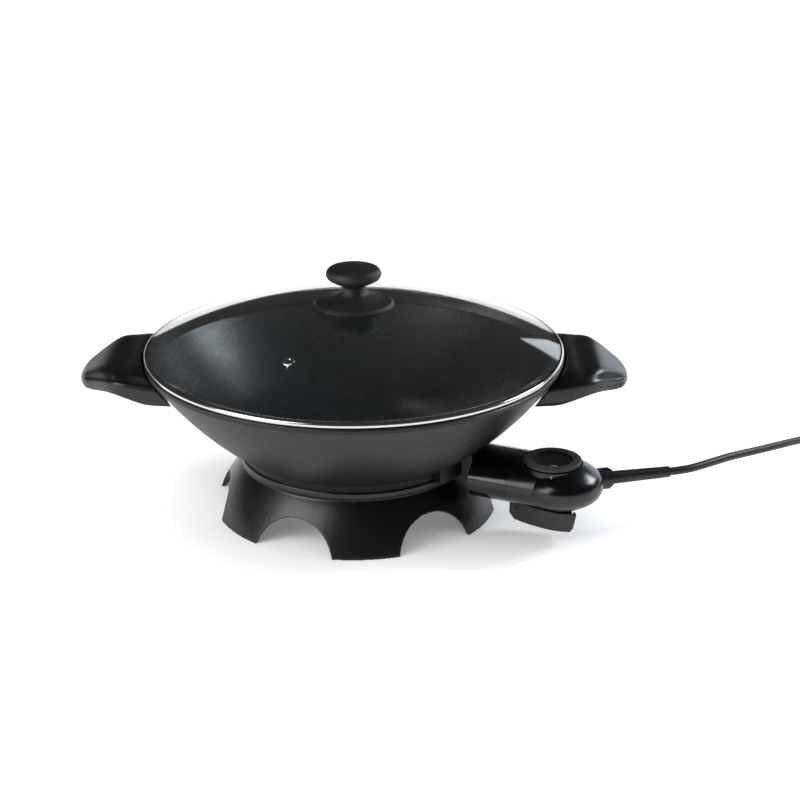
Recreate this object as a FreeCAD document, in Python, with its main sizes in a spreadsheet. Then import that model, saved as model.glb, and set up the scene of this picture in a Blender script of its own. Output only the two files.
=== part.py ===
import FreeCAD, Part
import Sketcher
import math
import os
import re

# Electric wok: a cast pan with a heating ring on a six-legged base, two hollow side handles,
# a lift-off glass lid, and a plug-in temperature control with its mains lead.
# Millimetres. The origin is on the pan's axis at the level of the table; +Z is up and +X
# points at one handle. The control points away from the axis at probe_azimuth.

doc = FreeCAD.newDocument("electric_wok")
sizes = doc.addObject("Spreadsheet::Sheet", "Sizes")
size_names = []
pieces = []


def size(name, value, note):
    """Write one driving dimension into the sheet under a name of its own."""
    size_names.append(name)
    row = len(size_names)
    sizes.set("A%d" % row, name)
    sizes.set("B%d" % row, str(value))
    sizes.set("C%d" % row, note)
    sizes.setAlias("B%d" % row, name)


def bound(text):
    """Point each size name in a formula at its cell."""
    def cell(match):
        word = match.group(0)
        return "Sizes." + word if word in size_names else word
    return re.sub(r"[a-z][a-z0-9_]*", cell, str(text))


def number(text):
    """The value of a formula now."""
    return float(sizes.evalExpression(bound(text)))


def drive(thing, **formulas):
    """Bind properties of an object to formulas in the size names."""
    for prop, text in formulas.items():
        thing.setExpression(prop.replace("__", "."), bound(text))
    return thing


def place(thing, x=0, y=0, z=0):
    """Bind where an object stands."""
    thing.setExpression("Placement.Base.x", bound(x))
    thing.setExpression("Placement.Base.y", bound(y))
    thing.setExpression("Placement.Base.z", bound(z))
    return thing


def draw(sketch, corners):
    """Draw a closed outline. A corner is (x, y), reached by a straight line, or
    (x, y, radius, turn), reached by an arc that turns left (+1) or right (-1)."""
    points = [FreeCAD.Vector(number(c[0]), number(c[1]), 0) for c in corners]
    edges = []
    for index, corner in enumerate(corners):
        start = points[index - 1]
        end = points[index]
        if len(corner) == 2:
            edge = sketch.addGeometry(Part.LineSegment(start, end))
            edges.append((edge, 1, 2))
            continue
        radius = number(corner[2])
        turn = corner[3]
        chord = end - start
        side = FreeCAD.Vector(-chord.y, chord.x, 0).normalize() * turn
        centre = (start + end) * 0.5 + side * math.sqrt(max(radius ** 2 - chord.Length ** 2 / 4, 0))
        first, last = (start, end) if turn > 0 else (end, start)
        angles = [math.atan2(p.y - centre.y, p.x - centre.x) for p in (first, last)]
        if angles[1] < angles[0]:
            angles[1] += 2 * math.pi
        circle = Part.Circle(centre, FreeCAD.Vector(0, 0, 1), radius)
        edge = sketch.addGeometry(Part.ArcOfCircle(circle, angles[0], angles[1]))
        edges.append((edge, 1, 2) if turn > 0 else (edge, 2, 1))
        drive_constraint(sketch, Sketcher.Constraint("Radius", edge, radius), corner[2])
    for index, corner in enumerate(corners):
        edge, start_end, far_end = edges[index]
        following = edges[(index + 1) % len(edges)]
        sketch.addConstraint(Sketcher.Constraint("Coincident", edge, far_end, following[0], following[1]))
        for kind, value in (("DistanceX", corner[0]), ("DistanceY", corner[1])):
            rule = Sketcher.Constraint(kind, -1, 1, edge, far_end, number(value))
            drive_constraint(sketch, rule, value)


def drive_constraint(sketch, rule, text):
    """Add a dimension to a sketch and bind it."""
    index = sketch.addConstraint(rule)
    sketch.setExpression("Constraints[%d]" % index, bound(text))


def sketch_on(body, role, corners):
    """A sketch with one outline on an origin plane of the body."""
    plane = [f for f in body.Origin.OriginFeatures if f.Role == role][0]
    sketch = body.newObject("Sketcher::SketchObject", "Outline")
    sketch.AttachmentSupport = [(plane, "")]
    sketch.MapMode = "FlatFace"
    draw(sketch, corners)
    return sketch


def turned(corners):
    """A body turned about Z from an outline of (radius, height) corners."""
    body = doc.addObject("PartDesign::Body", "Turned")
    sketch = sketch_on(body, "XZ_Plane", corners)
    turn = body.newObject("PartDesign::Revolution", "Turn")
    turn.Profile = sketch
    turn.ReferenceAxis = (sketch, ["V_Axis"])
    turn.Angle = 360
    sketch.Visibility = False
    doc.recompute()
    return body


def extruded(role, corners, length, both_ways=False):
    """A body padded from an outline on an origin plane."""
    body = doc.addObject("PartDesign::Body", "Extruded")
    sketch = sketch_on(body, role, corners)
    pad = body.newObject("PartDesign::Pad", "Pad")
    pad.Profile = sketch
    pad.Midplane = both_ways
    drive(pad, Length=length)
    sketch.Visibility = False
    doc.recompute()
    return body


def rod(radius, length, x=0, y=0, z=0, along="z"):
    """A cylinder that starts at a point and runs along one axis."""
    thing = doc.addObject("Part::Cylinder", "Rod")
    if along == "x":
        thing.Placement.Rotation = FreeCAD.Rotation(FreeCAD.Vector(1, 1, 1), 120)
    if along == "y":
        thing.Placement.Rotation = FreeCAD.Rotation(FreeCAD.Vector(1, 1, 1), 240)
    drive(thing, Radius=radius, Height=length)
    return place(thing, x, y, z)


def box(length, width, height, x=0, y=0, z=0):
    """A box from its low corner along X and Z, centred across Y on the given y."""
    thing = doc.addObject("Part::Box", "Box")
    drive(thing, Length=length, Width=width, Height=height)
    return place(thing, x, "%s - (%s) / 2" % (y, width), z)


def oval_bar(half_width, half_height, start, end, z):
    """An elliptical bar along X, wide across Y."""
    oval = doc.addObject("Part::Ellipse", "Oval")
    drive(oval, MajorRadius=half_width, MinorRadius=half_height)
    bar = doc.addObject("Part::Extrusion", "OvalBar")
    bar.Base = oval
    bar.DirMode = "Custom"
    bar.Dir = FreeCAD.Vector(0, 0, 1)
    bar.Solid = True
    bar.Placement.Rotation = FreeCAD.Rotation(FreeCAD.Vector(1, 1, 1), 120)
    drive(bar, LengthFwd="%s - (%s)" % (end, start))
    return place(bar, start, 0, z)


def join(*things):
    """One solid from several that touch."""
    fuse = doc.addObject("Part::MultiFuse", "Join")
    fuse.Shapes = list(things)
    fuse.Refine = True
    return fuse


def group(*things):
    """Separate solids that share one node, or one tool."""
    compound = doc.addObject("Part::Compound", "Group")
    compound.Links = list(things)
    return compound


def cut(base, *tools):
    """The first solid less the others, one after another."""
    for tool in tools:
        result = doc.addObject("Part::Cut", "Cut")
        result.Base = base
        result.Tool = tool
        result.Refine = True
        base = result
    return base


def common(first, second):
    """What two solids share."""
    result = doc.addObject("Part::Common", "Common")
    result.Base = first
    result.Tool = second
    result.Refine = True
    return result


def swing(thing, angle, axis=(0, 0, 1)):
    """Turn an object about an axis through the origin by a bound angle."""
    holder = thing if thing.TypeId in ("Part::Cut", "Part::MultiFuse", "Part::Compound") else group(thing)
    holder.Placement.Rotation = FreeCAD.Rotation(FreeCAD.Vector(*axis), 1)
    drive(holder, Placement__Rotation__Angle=angle)
    return holder


def piece(name, thing):
    """Name a finished sub-part. The label names its file."""
    thing.Label = name
    pieces.append(thing)
    return thing


# ---------------------------------------------------------------- driving dimensions

size("rim_radius", 180, "pan rim and lid band, outside")
size("rim_top", 139.2, "height of the pan's rim")
size("lip_height", 5, "rolled lip of the pan")
size("lip_width", 5.2, "lip, across")
size("lip_overhang", 1.8, "lip beyond the pan's side")
size("pan_wall", 3, "wall of the casting")
size("pan_side_radius", 288, "curve of the pan's side")
size("foot_ring_radius", 99, "ring under the pan, outside")
size("foot_ring_wall", 5, "ring under the pan, wall")
size("pan_heel", 56.9, "where the side meets the foot ring")
size("pan_heel_radius", 102.6, "pan there, wider than the ring's lower edge")
size("element_seat", 0.1, "between heating tube and pan")
size("pan_floor", 58, "cooking face at the centre")
size("pan_corner_blend", 70, "round between floor and side")
size("boss_radius", 5.5, "bosses under the pan")

size("skirt_top", 49.5, "top of the base, where the foot ring sits")
size("skirt_lip", 100.4, "collar of the base round the foot ring")
size("skirt_lip_low", 44, "lower edge of that collar")
size("skirt_edge_round", 1, "rounded edge of the collar")
size("skirt_neck", 98.3, "base just under the collar")
size("skirt_neck_level", 43, "level of that neck")
size("skirt_foot_radius", 124.6, "foot circle of the legs")
size("skirt_curve", 130, "outward curve of the base's side")
size("skirt_wall", 4, "wall of the base")
size("skirt_inner_edge", 72, "opening in the top of the base")
size("leg_count", 6, "legs")
size("arch_radius", 36.7, "arch between two legs")
size("arch_height", 27, "top of an arch")
size("base_screw_circle", 84, "screws that hold the base")
size("base_screw_radius", 2, "their shank")
size("base_screw_head", 4, "their head")
size("base_screw_head_height", 2.8, "their head")
size("reflector_radius", 92, "heat reflector under the pan")
size("reflector_sheet", 1, "its sheet")

size("probe_azimuth", -24.7, "direction of the control, from +X")
size("probe_height", 50, "axis of the control's rod and pins")
size("element_ring_radius", 56, "heating ring, centre line")
size("element_radius", 4.2, "heating tube")
size("element_end", 92, "end of the heating tube")
size("pin_spacing", 26, "between the two live pins")
size("pin_radius", 2, "live pins")
size("pin_tip", 136, "how far the pins reach out")
size("bead_radius", 3.4, "ceramic beads on the pins")
size("bead_length", 27, "ceramic beads on the pins")
size("rod_radius", 3, "temperature rod")
size("rod_tip", 66, "inner end of the temperature rod")
size("rod_clearance", 0.08, "running fit of the rod in its sleeve")
size("sleeve_wall", 1, "sleeve for the rod")
size("sleeve_start", 60, "inner end of the sleeve")
size("sleeve_end", 119.5, "outer end of the sleeve")
size("socket_radius", 110.5, "socket lug cast on the pan, outside")
size("socket_face", 118.5, "flat front of the socket lug, close to the hood")
size("socket_half_angle", 24, "half of its sweep about the pan's axis")
size("socket_lift", 0.8, "between the socket lug and the base")
size("socket_core_half", 19, "deeper middle of the lug, half width")
size("socket_core_low", 44.6, "deeper middle of the lug, lower face")
size("window_gap", 1.4, "free space round that middle in the base")

size("hood_half_width", 32, "control, front hood")
size("hood_half_height", 21, "control, front hood")
size("hood_start", 120, "open end of the hood")
size("hood_end", 153.7, "where the hood meets the housing")
size("housing_start", 154, "front of the housing")
size("shell_wall", 3, "shells of the control")
size("dial_reach", 183.7, "from the pan's axis to the dial's")
size("bulb_reach", 192, "from the pan's axis to the middle of the round housing")
size("bulb_radius", 35, "round housing of the control")
size("bulb_half_height", 21.3, "round housing of the control, just over its neck")
size("bulb_side_round", 14, "curve of the round housing at its widest")
size("hood_parting", 51, "level where the hood's halves meet")
size("housing_parting", 38, "level where the housing's halves meet")
size("pan_clearance", 1, "between hood and pan")
size("dial_seat", 67.6, "flat on top of the housing")
size("dial_seat_radius", 25.4, "flat on top of the housing")
size("dial_gap", 0.3, "under the dial")
size("dial_radius", 24.1, "dial")
size("dial_top", 71.2, "upper face of the dial")
size("dial_rim", 6.8, "width of the dial's outer ring")
size("dial_recess", 1.2, "centre disc below the ring")
size("spindle_radius", 3, "dial spindle")
size("spindle_foot", 49.1, "lower end of the spindle")
size("spindle_clearance", 0.07, "running fit of the spindle")
size("block_start", 140, "terminal block")
size("block_end", 150, "terminal block")
size("clip_wall", 0.9, "contact sleeves")
size("clip_start", 124.5, "contact sleeves")
size("frame_sheet", 2, "thermostat frame")
size("frame_width", 20, "thermostat frame")
size("frame_length", 42, "thermostat frame")
size("frame_low", 42, "thermostat frame, lower face")
size("frame_high", 56, "thermostat frame, upper face")
size("blade_sheet", 0.6, "bimetal and contact blades")
size("stack_length", 12, "insulating stack that holds the blades")
size("housing_screw_circle", 17.5, "screws of the housing, about the dial's axis")
size("housing_screw_radius", 1.5, "their shank")
size("housing_screw_head", 3, "their head")
size("housing_screw_seat", 35.5, "level under their head")
size("post_radius", 4.6, "posts that take the housing screws")
size("lamp_radius", 1.1, "pilot lamp")
size("lamp_level", 64.9, "the lamp's axis, in the wall under the dial")
size("lamp_start", 20, "inner end of the lamp, from the dial's axis")
size("lamp_lens_start", 23, "inner face of its lens, from the dial's axis")
size("lamp_azimuth", -73, "the lamp's direction from the control's axis")

size("lever_front", 148, "release lever, front end")
size("lever_tip", 209.5, "release lever, free end")
size("lever_rake", 4.5, "slope of the free end")
size("lever_bottom", 12, "release lever, lower face")
size("lever_top", 28.4, "release lever, upper edge")
size("lever_front_drop", 2, "how far its upper edge falls under the hood")
size("lever_nose", 5.5, "half width at the front")
size("lever_shoulder", 7.2, "half width behind the rounded front")
size("lever_widest", 190, "where it is widest")
size("lever_half_width", 14.3, "half width at its widest")
size("lever_tip_half", 9.2, "half width at the free end")
size("lever_tip_skew", 12.5, "how much shorter its far side is")
size("lever_side_round", 110, "curve of its sides")
size("lever_tip_round", 45, "curve of its sides near the free end")
size("lever_wall", 2, "release lever")
size("hinge_reach", 155, "hinge pin of the lever")
size("hinge_height", 23, "hinge pin of the lever")
size("hinge_pin_radius", 1.5, "hinge pin of the lever")
size("hinge_clearance", 0.06, "running fit of the lever on its pin")
size("hinge_ear", 2, "thickness of the two ears")
size("hinge_ear_gap", 4, "between the ears")
size("hinge_ear_radius", 3, "round end of the ears")

size("cord_azimuth", 14, "direction in which the cord leaves")
size("cord_height", 48, "level at which the cord leaves")
size("cord_radius", 3.5, "mains lead")
size("collar_radius", 9.2, "collar where the lead leaves")
size("collar_lip_radius", 7.7, "its narrower outer end")
size("collar_lip", 2.4, "length of that end")
size("collar_start", 37, "collar, from the dial's axis")
size("collar_end", 52.4, "collar, from the dial's axis")
size("relief_end", 104.8, "end of the strain relief, from the dial's axis")
size("relief_radius", 5.6, "strain relief at the collar")
size("relief_tip_radius", 4.7, "strain relief at its end")

size("coil_x", 483, "middle of the put-away lead")
size("coil_y", 150, "middle of the put-away lead")
size("coil_inside", 31.5, "wound turns, inner radius")
size("coil_outside", 45.5, "wound turns, outer radius")
size("coil_height", 13.4, "two layers of turns")
size("tie_width", 10, "tie round the turns")
size("plug_radius", 18.5, "mains plug")
size("plug_length", 33, "mains plug")
size("plug_neck", 26, "strain relief of the plug")
size("plug_pin_radius", 2.4, "plug pins")
size("plug_pin_length", 19, "plug pins")
size("plug_pin_spacing", 19, "plug pins")

size("grip_root", 150, "side handle, hidden inner end")
size("grip_tip", 236, "side handle, outer end")
size("grip_half_width", 63.5, "side handle at its root")
size("grip_shoulder", 198, "where the side handle narrows")
size("grip_shoulder_half", 59.5, "half width there")
size("grip_corner", 212, "end of the rounded corner")
size("grip_corner_half", 45, "half width there")
size("grip_corner_round", 19, "rounded corner")
size("grip_nose", 228.5, "start of the rounded nose")
size("grip_nose_half", 25, "half width there")
size("grip_nose_round", 37, "rounded nose")
size("grip_bottom", 111.5, "side handle, lower edge")
size("grip_nose_low", 115, "side handle, lower edge at its outer end")
size("grip_top", 138.4, "side handle, upper face")
size("grip_brow", 204, "where the upper face starts to fall")
size("grip_brow_round", 60, "curve of the falling face")
size("grip_brow_low", 121, "lowest level of the falling face")
size("grip_crown_half", 55, "flat middle of the handle's top, half width")
size("grip_crown_round", 10, "how the top falls to the sides")
size("grip_arch_reach", 203.5, "finger arches in the handle's sides, from the pan's axis")
size("grip_arch_radius", 36, "finger arches")
size("grip_arch_top", 121.8, "top of the finger arches")
size("grip_wall", 4.5, "wall of the side handle")
size("grip_gap_low", 160.5, "inner end of the handle at its lower edge")
size("grip_gap_high", 184.2, "inner end of the handle at the rim")
size("grip_gap_level", 133, "level from which it stands upright")
size("lug_spacing", 70, "between the two lugs of one handle")
size("lug_width", 14, "lugs on the pan")
size("lug_height", 6, "lugs on the pan")
size("lug_low", 120, "lower face of the lugs")
size("lug_end", 196, "outer end of the lugs")
size("lug_screw_reach", 188, "handle screws, from the pan's axis plane")
size("lug_gap", 0.3, "slot round a lug")
size("grip_screw_radius", 2.4, "handle screws")
size("grip_screw_head", 4.3, "handle screws, head")
size("grip_screw_head_height", 3, "handle screws, head")
size("grip_screw_depth", 11.5, "handle screws, beyond the lug's lower face")
size("washer_sheet", 1, "washers under the handle screws")
size("washer_radius", 5, "washers under the handle screws")
size("grip_boss_radius", 5.5, "screw bosses in the handle")

size("lid_gap", 0.2, "between lid and pan rim")
size("band_height", 4.8, "steel band round the glass")
size("band_sheet", 0.8, "steel of the band")
size("band_skirt_radius", 169.3, "steel ring that drops into the pan")
size("band_skirt_bottom", 130, "lower edge of that ring")
size("band_lip", 2.6, "band folded over the glass")
size("dome_radius", 431.5, "glass dome, outside")
size("dome_top", 182.4, "top of the glass")
size("glass_sheet", 4, "glass")
size("vent_reach", 115, "steam vent, from the lid's axis")
size("vent_azimuth", -115.7, "direction of the steam vent")
size("vent_hole_radius", 1.8, "steam vent")
size("vent_neck_radius", 3.2, "eyelet through the glass")
size("vent_flange_radius", 5, "eyelet flange")
size("flange_radius", 34.5, "skirt of the lid knob")
size("flange_edge", 3, "skirt of the lid knob, height of its rim")
size("flange_lift", 0.9, "seal between glass and knob")
size("neck_radius", 10, "neck of the knob")
size("neck_top", 197.5, "where knob and skirt meet")
size("knob_radius", 23.7, "lid knob")
size("knob_waist", 12, "underside of the knob at the neck")
size("knob_widest", 208.5, "level at which it is widest")
size("knob_top", 215.5, "top of the knob")
size("knob_screw_radius", 2.5, "screw of the knob")
size("knob_screw_head", 5, "its head")
size("knob_screw_tip", 206, "its tip")

doc.recompute()

# ---------------------------------------------------------------- pan

underside = "(probe_height + element_radius + element_seat)"
pan = turned([
    ("0", underside),
    ("foot_ring_radius - foot_ring_wall", underside),
    ("foot_ring_radius - foot_ring_wall", "skirt_top"),
    ("foot_ring_radius", "skirt_top"),
    ("pan_heel_radius", "pan_heel"),
    ("rim_radius - lip_overhang", "rim_top - lip_height", "pan_side_radius", 1),
    ("rim_radius", "rim_top - lip_height + 1"),
    ("rim_radius", "rim_top - 1.2"),
    ("rim_radius - 1.2", "rim_top", "1.2", 1),
    ("rim_radius - lip_width", "rim_top"),
    ("rim_radius - lip_width", "rim_top - lip_height"),
    ("foot_ring_radius - pan_wall / 4", "pan_floor", "pan_side_radius - pan_wall", -1),
    ("0", "pan_floor")])


def corner_edges(shape, radius, level, slack=0.6):
    """Names of the circular edges of one radius at one level."""
    found = []
    for index, edge in enumerate(shape.Edges):
        bounds = edge.BoundBox
        at_level = abs(bounds.ZMin - level) < slack and abs(bounds.ZMax - level) < slack
        if at_level and abs(bounds.XMax - radius) < slack:
            found.append("Edge%d" % (index + 1))
    return found


pan_turn = pan.Tip
floor_corner = corner_edges(pan.Shape, number("foot_ring_radius - pan_wall / 4"), number("pan_floor"))
blend = pan.newObject("PartDesign::Fillet", "CornerBlend")
blend.Base = (pan_turn, floor_corner)
drive(blend, Radius="pan_corner_blend")
pan.Tip = blend
doc.recompute()

pan_outside = [
    ("0", "skirt_top"),
    ("foot_ring_radius", "skirt_top"),
    ("pan_heel_radius", "pan_heel"),
    ("rim_radius - lip_overhang", "rim_top - lip_height", "pan_side_radius", 1),
    ("rim_radius", "rim_top - lip_height + 1"),
    ("rim_radius", "rim_top"),
    ("0", "rim_top")]

pan_middle = turned([
    ("0", "pan_floor - pan_wall / 2"),
    ("foot_ring_radius", "pan_floor - pan_wall / 2"),
    ("rim_radius - lip_overhang - pan_wall / 2", "rim_top - lip_height",
     "pan_side_radius - pan_wall / 2", 1),
    ("rim_radius - lip_overhang - pan_wall / 2", "rim_top"),
    ("0", "rim_top")])


def at_lugs(make):
    """The same thing at the four handle lugs: two on each side of the pan."""
    made = []
    for side in (1, -1):
        for hand in (1, -1):
            made.append(make(side, "%d * lug_spacing / 2" % hand))
    return made


def lug_bar(side, y):
    start = "grip_root - 10" if side > 0 else "-lug_end"
    return box("lug_end - grip_root + 10", "lug_width", "lug_height", start, y, "lug_low")


def lug_hole(side, y):
    return rod("grip_screw_radius", "lug_height + 2", "%d * lug_screw_reach" % side, y, "lug_low - 1")


lugs = cut(group(*at_lugs(lug_bar)), pan_middle, *at_lugs(lug_hole))


base_screw_turns = (60, 180, 300)


def round_base(make):
    """The same thing at the three base screws, counted from the control's direction."""
    made = []
    for turn in base_screw_turns:
        x = "base_screw_circle * cos(probe_azimuth + %d)" % turn
        y = "base_screw_circle * sin(probe_azimuth + %d)" % turn
        made.append(make(x, y))
    return made


bosses = round_base(lambda x, y: rod("boss_radius", underside + " - skirt_top + 1", x, y, "skirt_top"))
boss_holes = round_base(
    lambda x, y: rod("base_screw_radius", "pan_floor - skirt_top - 1.5", x, y, "skirt_top - 0.5"))


# The heating ring is open towards the control, and its two ends are led out to the pins.
ring_bend = "(0.7 * pin_spacing)"
bend_y = "(pin_spacing / 2 + %s)" % ring_bend
bend_x = "sqrt((element_ring_radius + %s) ^ 2 - %s ^ 2)" % (ring_bend, bend_y)
ring_opening = "asin(%s / (element_ring_radius + %s))" % (bend_y, ring_bend)
bend_sweep = "90 deg - " + ring_opening


def ring_piece(radius, sweep, turn, x=0, y=0):
    """A stretch of the heating tube bent about an upright axis."""
    bent = doc.addObject("Part::Torus", "RingPiece")
    drive(bent, Radius1=radius, Radius2="element_radius", Angle3=sweep, Placement__Rotation__Angle=turn)
    return place(bent, x, y, "probe_height")


def ring_leg(y):
    return rod("element_radius", "element_end - " + bend_x, bend_x, y, "probe_height", "x")


piece("heating_element", swing(join(
    ring_piece("element_ring_radius", "360 deg - 2 * " + ring_opening, ring_opening),
    ring_piece(ring_bend, bend_sweep, "180 deg + " + ring_opening, bend_x, bend_y),
    ring_piece(ring_bend, bend_sweep, "90 deg", bend_x, "-" + bend_y),
    ring_leg("pin_spacing / 2"),
    ring_leg("-pin_spacing / 2")), "probe_azimuth"))

piece("sensor_sleeve", swing(cut(
    rod("rod_radius + rod_clearance + sleeve_wall", "sleeve_end - sleeve_start",
        "sleeve_start", 0, "probe_height", "x"),
    rod("rod_radius + rod_clearance", "sleeve_end - sleeve_start + 2",
        "sleeve_start - 1", 0, "probe_height", "x")), "probe_azimuth"))

socket_sweep = rod("socket_radius", "pan_heel", 0, 0, "skirt_top + socket_lift")
drive(socket_sweep, Angle="2 * socket_half_angle", Placement__Rotation__Angle="-socket_half_angle")
socket_core = box("socket_face - foot_ring_radius + foot_ring_wall / 2", "2 * socket_core_half",
                  "pan_heel", "foot_ring_radius - foot_ring_wall / 2", 0, "socket_core_low")
socket = swing(cut(
    join(socket_sweep, socket_core),
    rod("foot_ring_radius - foot_ring_wall / 2", "2 * pan_heel", 0, 0, "socket_core_low - 1"),
    pan_middle), "probe_azimuth")


def both_pins(make):
    """The same thing at the two live pins."""
    return [make("pin_spacing / 2"), make("-pin_spacing / 2")]


socket_bores = [swing(bore, "probe_azimuth") for bore in both_pins(
    lambda y: rod("bead_radius", "bead_length + 4", "element_end - 2", y, "probe_height", "x"))]
sleeve_bore = swing(rod("rod_radius + rod_clearance + sleeve_wall", "sleeve_end - element_end",
                        "element_end", 0, "probe_height", "x"), "probe_azimuth")
piece("wok_pan", cut(join(pan, lugs, socket, *bosses), sleeve_bore, *socket_bores, *boss_holes))

# ---------------------------------------------------------------- base

skirt = turned([
    ("skirt_inner_edge", "skirt_top - skirt_wall"),
    ("skirt_neck - skirt_wall", "skirt_top - skirt_wall"),
    ("skirt_neck - skirt_wall", "skirt_neck_level"),
    ("skirt_foot_radius - skirt_wall", "0", "skirt_curve - skirt_wall", -1),
    ("skirt_foot_radius", "0"),
    ("skirt_neck", "skirt_neck_level", "skirt_curve", 1),
    ("skirt_lip", "skirt_lip_low"),
    ("skirt_lip", "skirt_top - skirt_edge_round"),
    ("skirt_lip - skirt_edge_round", "skirt_top", "skirt_edge_round", 1),
    ("skirt_inner_edge", "skirt_top")])
arches = []
for arch in range(3):
    tunnel = rod("arch_radius", "4 * skirt_foot_radius", "-2 * skirt_foot_radius", 0,
                 "arch_height - arch_radius", "x")
    arches.append(swing(tunnel, "(%d + 0.5) * 360 / leg_count" % arch))
skirt_window = box(
    "skirt_foot_radius", "2 * (socket_core_half + window_gap)", "skirt_top - socket_core_low + 2 * window_gap",
    "skirt_inner_edge - 10", 0, "socket_core_low - window_gap")
skirt_holes = [swing(rod("base_screw_radius + 0.2", "skirt_wall + 2", "base_screw_circle", 0,
                         "skirt_top - skirt_wall - 1"), str(turn)) for turn in base_screw_turns]
piece("base_skirt", swing(cut(skirt, *arches, skirt_window, *skirt_holes), "probe_azimuth"))

reflector_top = "skirt_top - skirt_wall"
reflector = turned([
    ("0", reflector_top + " - reflector_sheet"),
    ("reflector_radius", reflector_top + " - reflector_sheet"),
    ("reflector_radius", reflector_top),
    ("0", reflector_top)])
reflector_holes = round_base(
    lambda x, y: rod("base_screw_radius + 0.2", "reflector_sheet + 2", x, y, "skirt_top - skirt_wall - 2"))
piece("heat_reflector", cut(reflector, *reflector_holes))

screw_seat = "skirt_top - skirt_wall - reflector_sheet"


def base_screw(x, y):
    head = rod("base_screw_head", "base_screw_head_height", x, y, screw_seat + " - base_screw_head_height")
    shank = rod("base_screw_radius", "pan_floor - 2 - (%s)" % screw_seat, x, y, screw_seat)
    return join(head, shank)


piece("base_screws", group(*round_base(base_screw)))

# ---------------------------------------------------------------- pins of the socket

pins = both_pins(lambda y: rod("pin_radius", "pin_tip - element_end", "element_end", y, "probe_height", "x"))
piece("element_pins", swing(group(*pins), "probe_azimuth"))

beads = both_pins(lambda y: cut(
    rod("bead_radius", "bead_length", "element_end", y, "probe_height", "x"),
    rod("pin_radius", "bead_length + 2", "element_end - 1", y, "probe_height", "x")))
piece("pin_beads", swing(group(*beads), "probe_azimuth"))

# ---------------------------------------------------------------- side handles


def grip_form(inset, drop):
    """The outer form of a side handle, or the hollow inside it when inset by the wall."""
    half = [
        ("grip_root", "-(grip_half_width - {0})"),
        ("grip_shoulder", "-(grip_shoulder_half - {0})"),
        ("grip_corner - {0} * 0.7", "-(grip_corner_half - {0} * 0.7)", "grip_corner_round", 1),
        ("grip_nose - {0} * 0.9", "-(grip_nose_half - {0} * 0.4)"),
        ("grip_tip - {0}", "0", "grip_nose_round", 1),
        ("grip_nose - {0} * 0.9", "grip_nose_half - {0} * 0.4", "grip_nose_round", 1),
        ("grip_corner - {0} * 0.7", "grip_corner_half - {0} * 0.7"),
        ("grip_shoulder", "grip_shoulder_half - {0}", "grip_corner_round", 1),
        ("grip_root", "grip_half_width - {0}")]
    plan = extruded("XY_Plane", [tuple(str(v).format(inset) if isinstance(v, str) else v for v in c)
                                 for c in half], "grip_top + 10")
    side = [
        ("grip_root", "grip_bottom - {1}"),
        ("grip_arch_reach", "grip_bottom - {1}"),
        ("grip_arch_reach", "grip_nose_low - {1}"),
        ("grip_tip - 4 - {0}", "grip_nose_low - {1}"),
        ("grip_tip - {0}", "grip_nose_low + 2.5 - {1} / 2"),
        ("grip_tip - {0}", "grip_brow_low - {0} * 0.8"),
        ("grip_brow - {0} * 0.4", "grip_top - {0}", "grip_brow_round", 1),
        ("grip_root", "grip_top - {0}")]
    profile = extruded("XZ_Plane", [tuple(str(v).format(inset, drop) if isinstance(v, str) else v
                                          for v in c) for c in side], "2 * grip_half_width + 20", True)
    crown_top = "grip_top - %s" % inset
    crown_round = "(grip_crown_round - %s)" % inset
    crown_edge = "(grip_half_width + 1 - %s)" % inset
    crown_low = "%s - %s + sqrt(%s ^ 2 - (%s - grip_crown_half) ^ 2)" % (
        crown_top, crown_round, crown_round, crown_edge)
    crown = extruded("YZ_Plane", [
        ("-" + crown_edge, "grip_bottom - 20"),
        (crown_edge, "grip_bottom - 20"),
        (crown_edge, crown_low),
        ("grip_crown_half", crown_top, crown_round, 1),
        ("-grip_crown_half", crown_top),
        ("-" + crown_edge, crown_low, crown_round, 1)], "grip_tip + 20")
    return common(common(plan, profile), crown)


def handle_gap(wall):
    """What the pan and its rim keep free of the handle."""
    return turned([
        ("0", "grip_bottom - 12"),
        ("grip_gap_low - 7 + %s" % wall, "grip_bottom - 12"),
        ("grip_gap_high + %s" % wall, "grip_gap_level"),
        ("grip_gap_high + %s" % wall, "grip_top + 12"),
        ("0", "grip_top + 12")])


grip_outside = cut(grip_form("0", "0"), handle_gap("0"))
grip_hollow = cut(grip_form("grip_wall", "5"), handle_gap("grip_wall"))
lug_level = "lug_low + lug_height"
grip_bosses = [rod("grip_boss_radius", "grip_top - grip_wall / 2 - (%s)" % lug_level,
                   "lug_screw_reach", "%d * lug_spacing / 2" % hand, lug_level) for hand in (1, -1)]
grip_holes = [rod("grip_screw_radius", "grip_screw_depth - lug_height + 1",
                  "lug_screw_reach", "%d * lug_spacing / 2" % hand, lug_level + " - 1") for hand in (1, -1)]
lug_slots = [box("lug_end - grip_root + lug_gap", "lug_width + 2 * lug_gap", "lug_height + lug_gap",
                 "grip_root", "%d * lug_spacing / 2" % hand, "lug_low - lug_gap") for hand in (1, -1)]
finger_arch = rod("grip_arch_radius", "4 * grip_half_width", "grip_arch_reach", "-2 * grip_half_width",
                  "grip_arch_top - grip_arch_radius", "y")
grip = cut(join(cut(grip_outside, grip_hollow, finger_arch), *grip_bosses), *grip_holes, *lug_slots)
piece("handle_right", grip)
mirrored = doc.addObject("Part::Mirroring", "Mirrored")
mirrored.Source = grip
mirrored.Normal = FreeCAD.Vector(1, 0, 0)
piece("handle_left", mirrored)

washer_level = "lug_low - washer_sheet"


def washer(side, y):
    x = "%d * lug_screw_reach" % side
    return cut(rod("washer_radius", "washer_sheet", x, y, washer_level),
               rod("grip_screw_radius", "washer_sheet + 2", x, y, washer_level + " - 1"))


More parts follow.
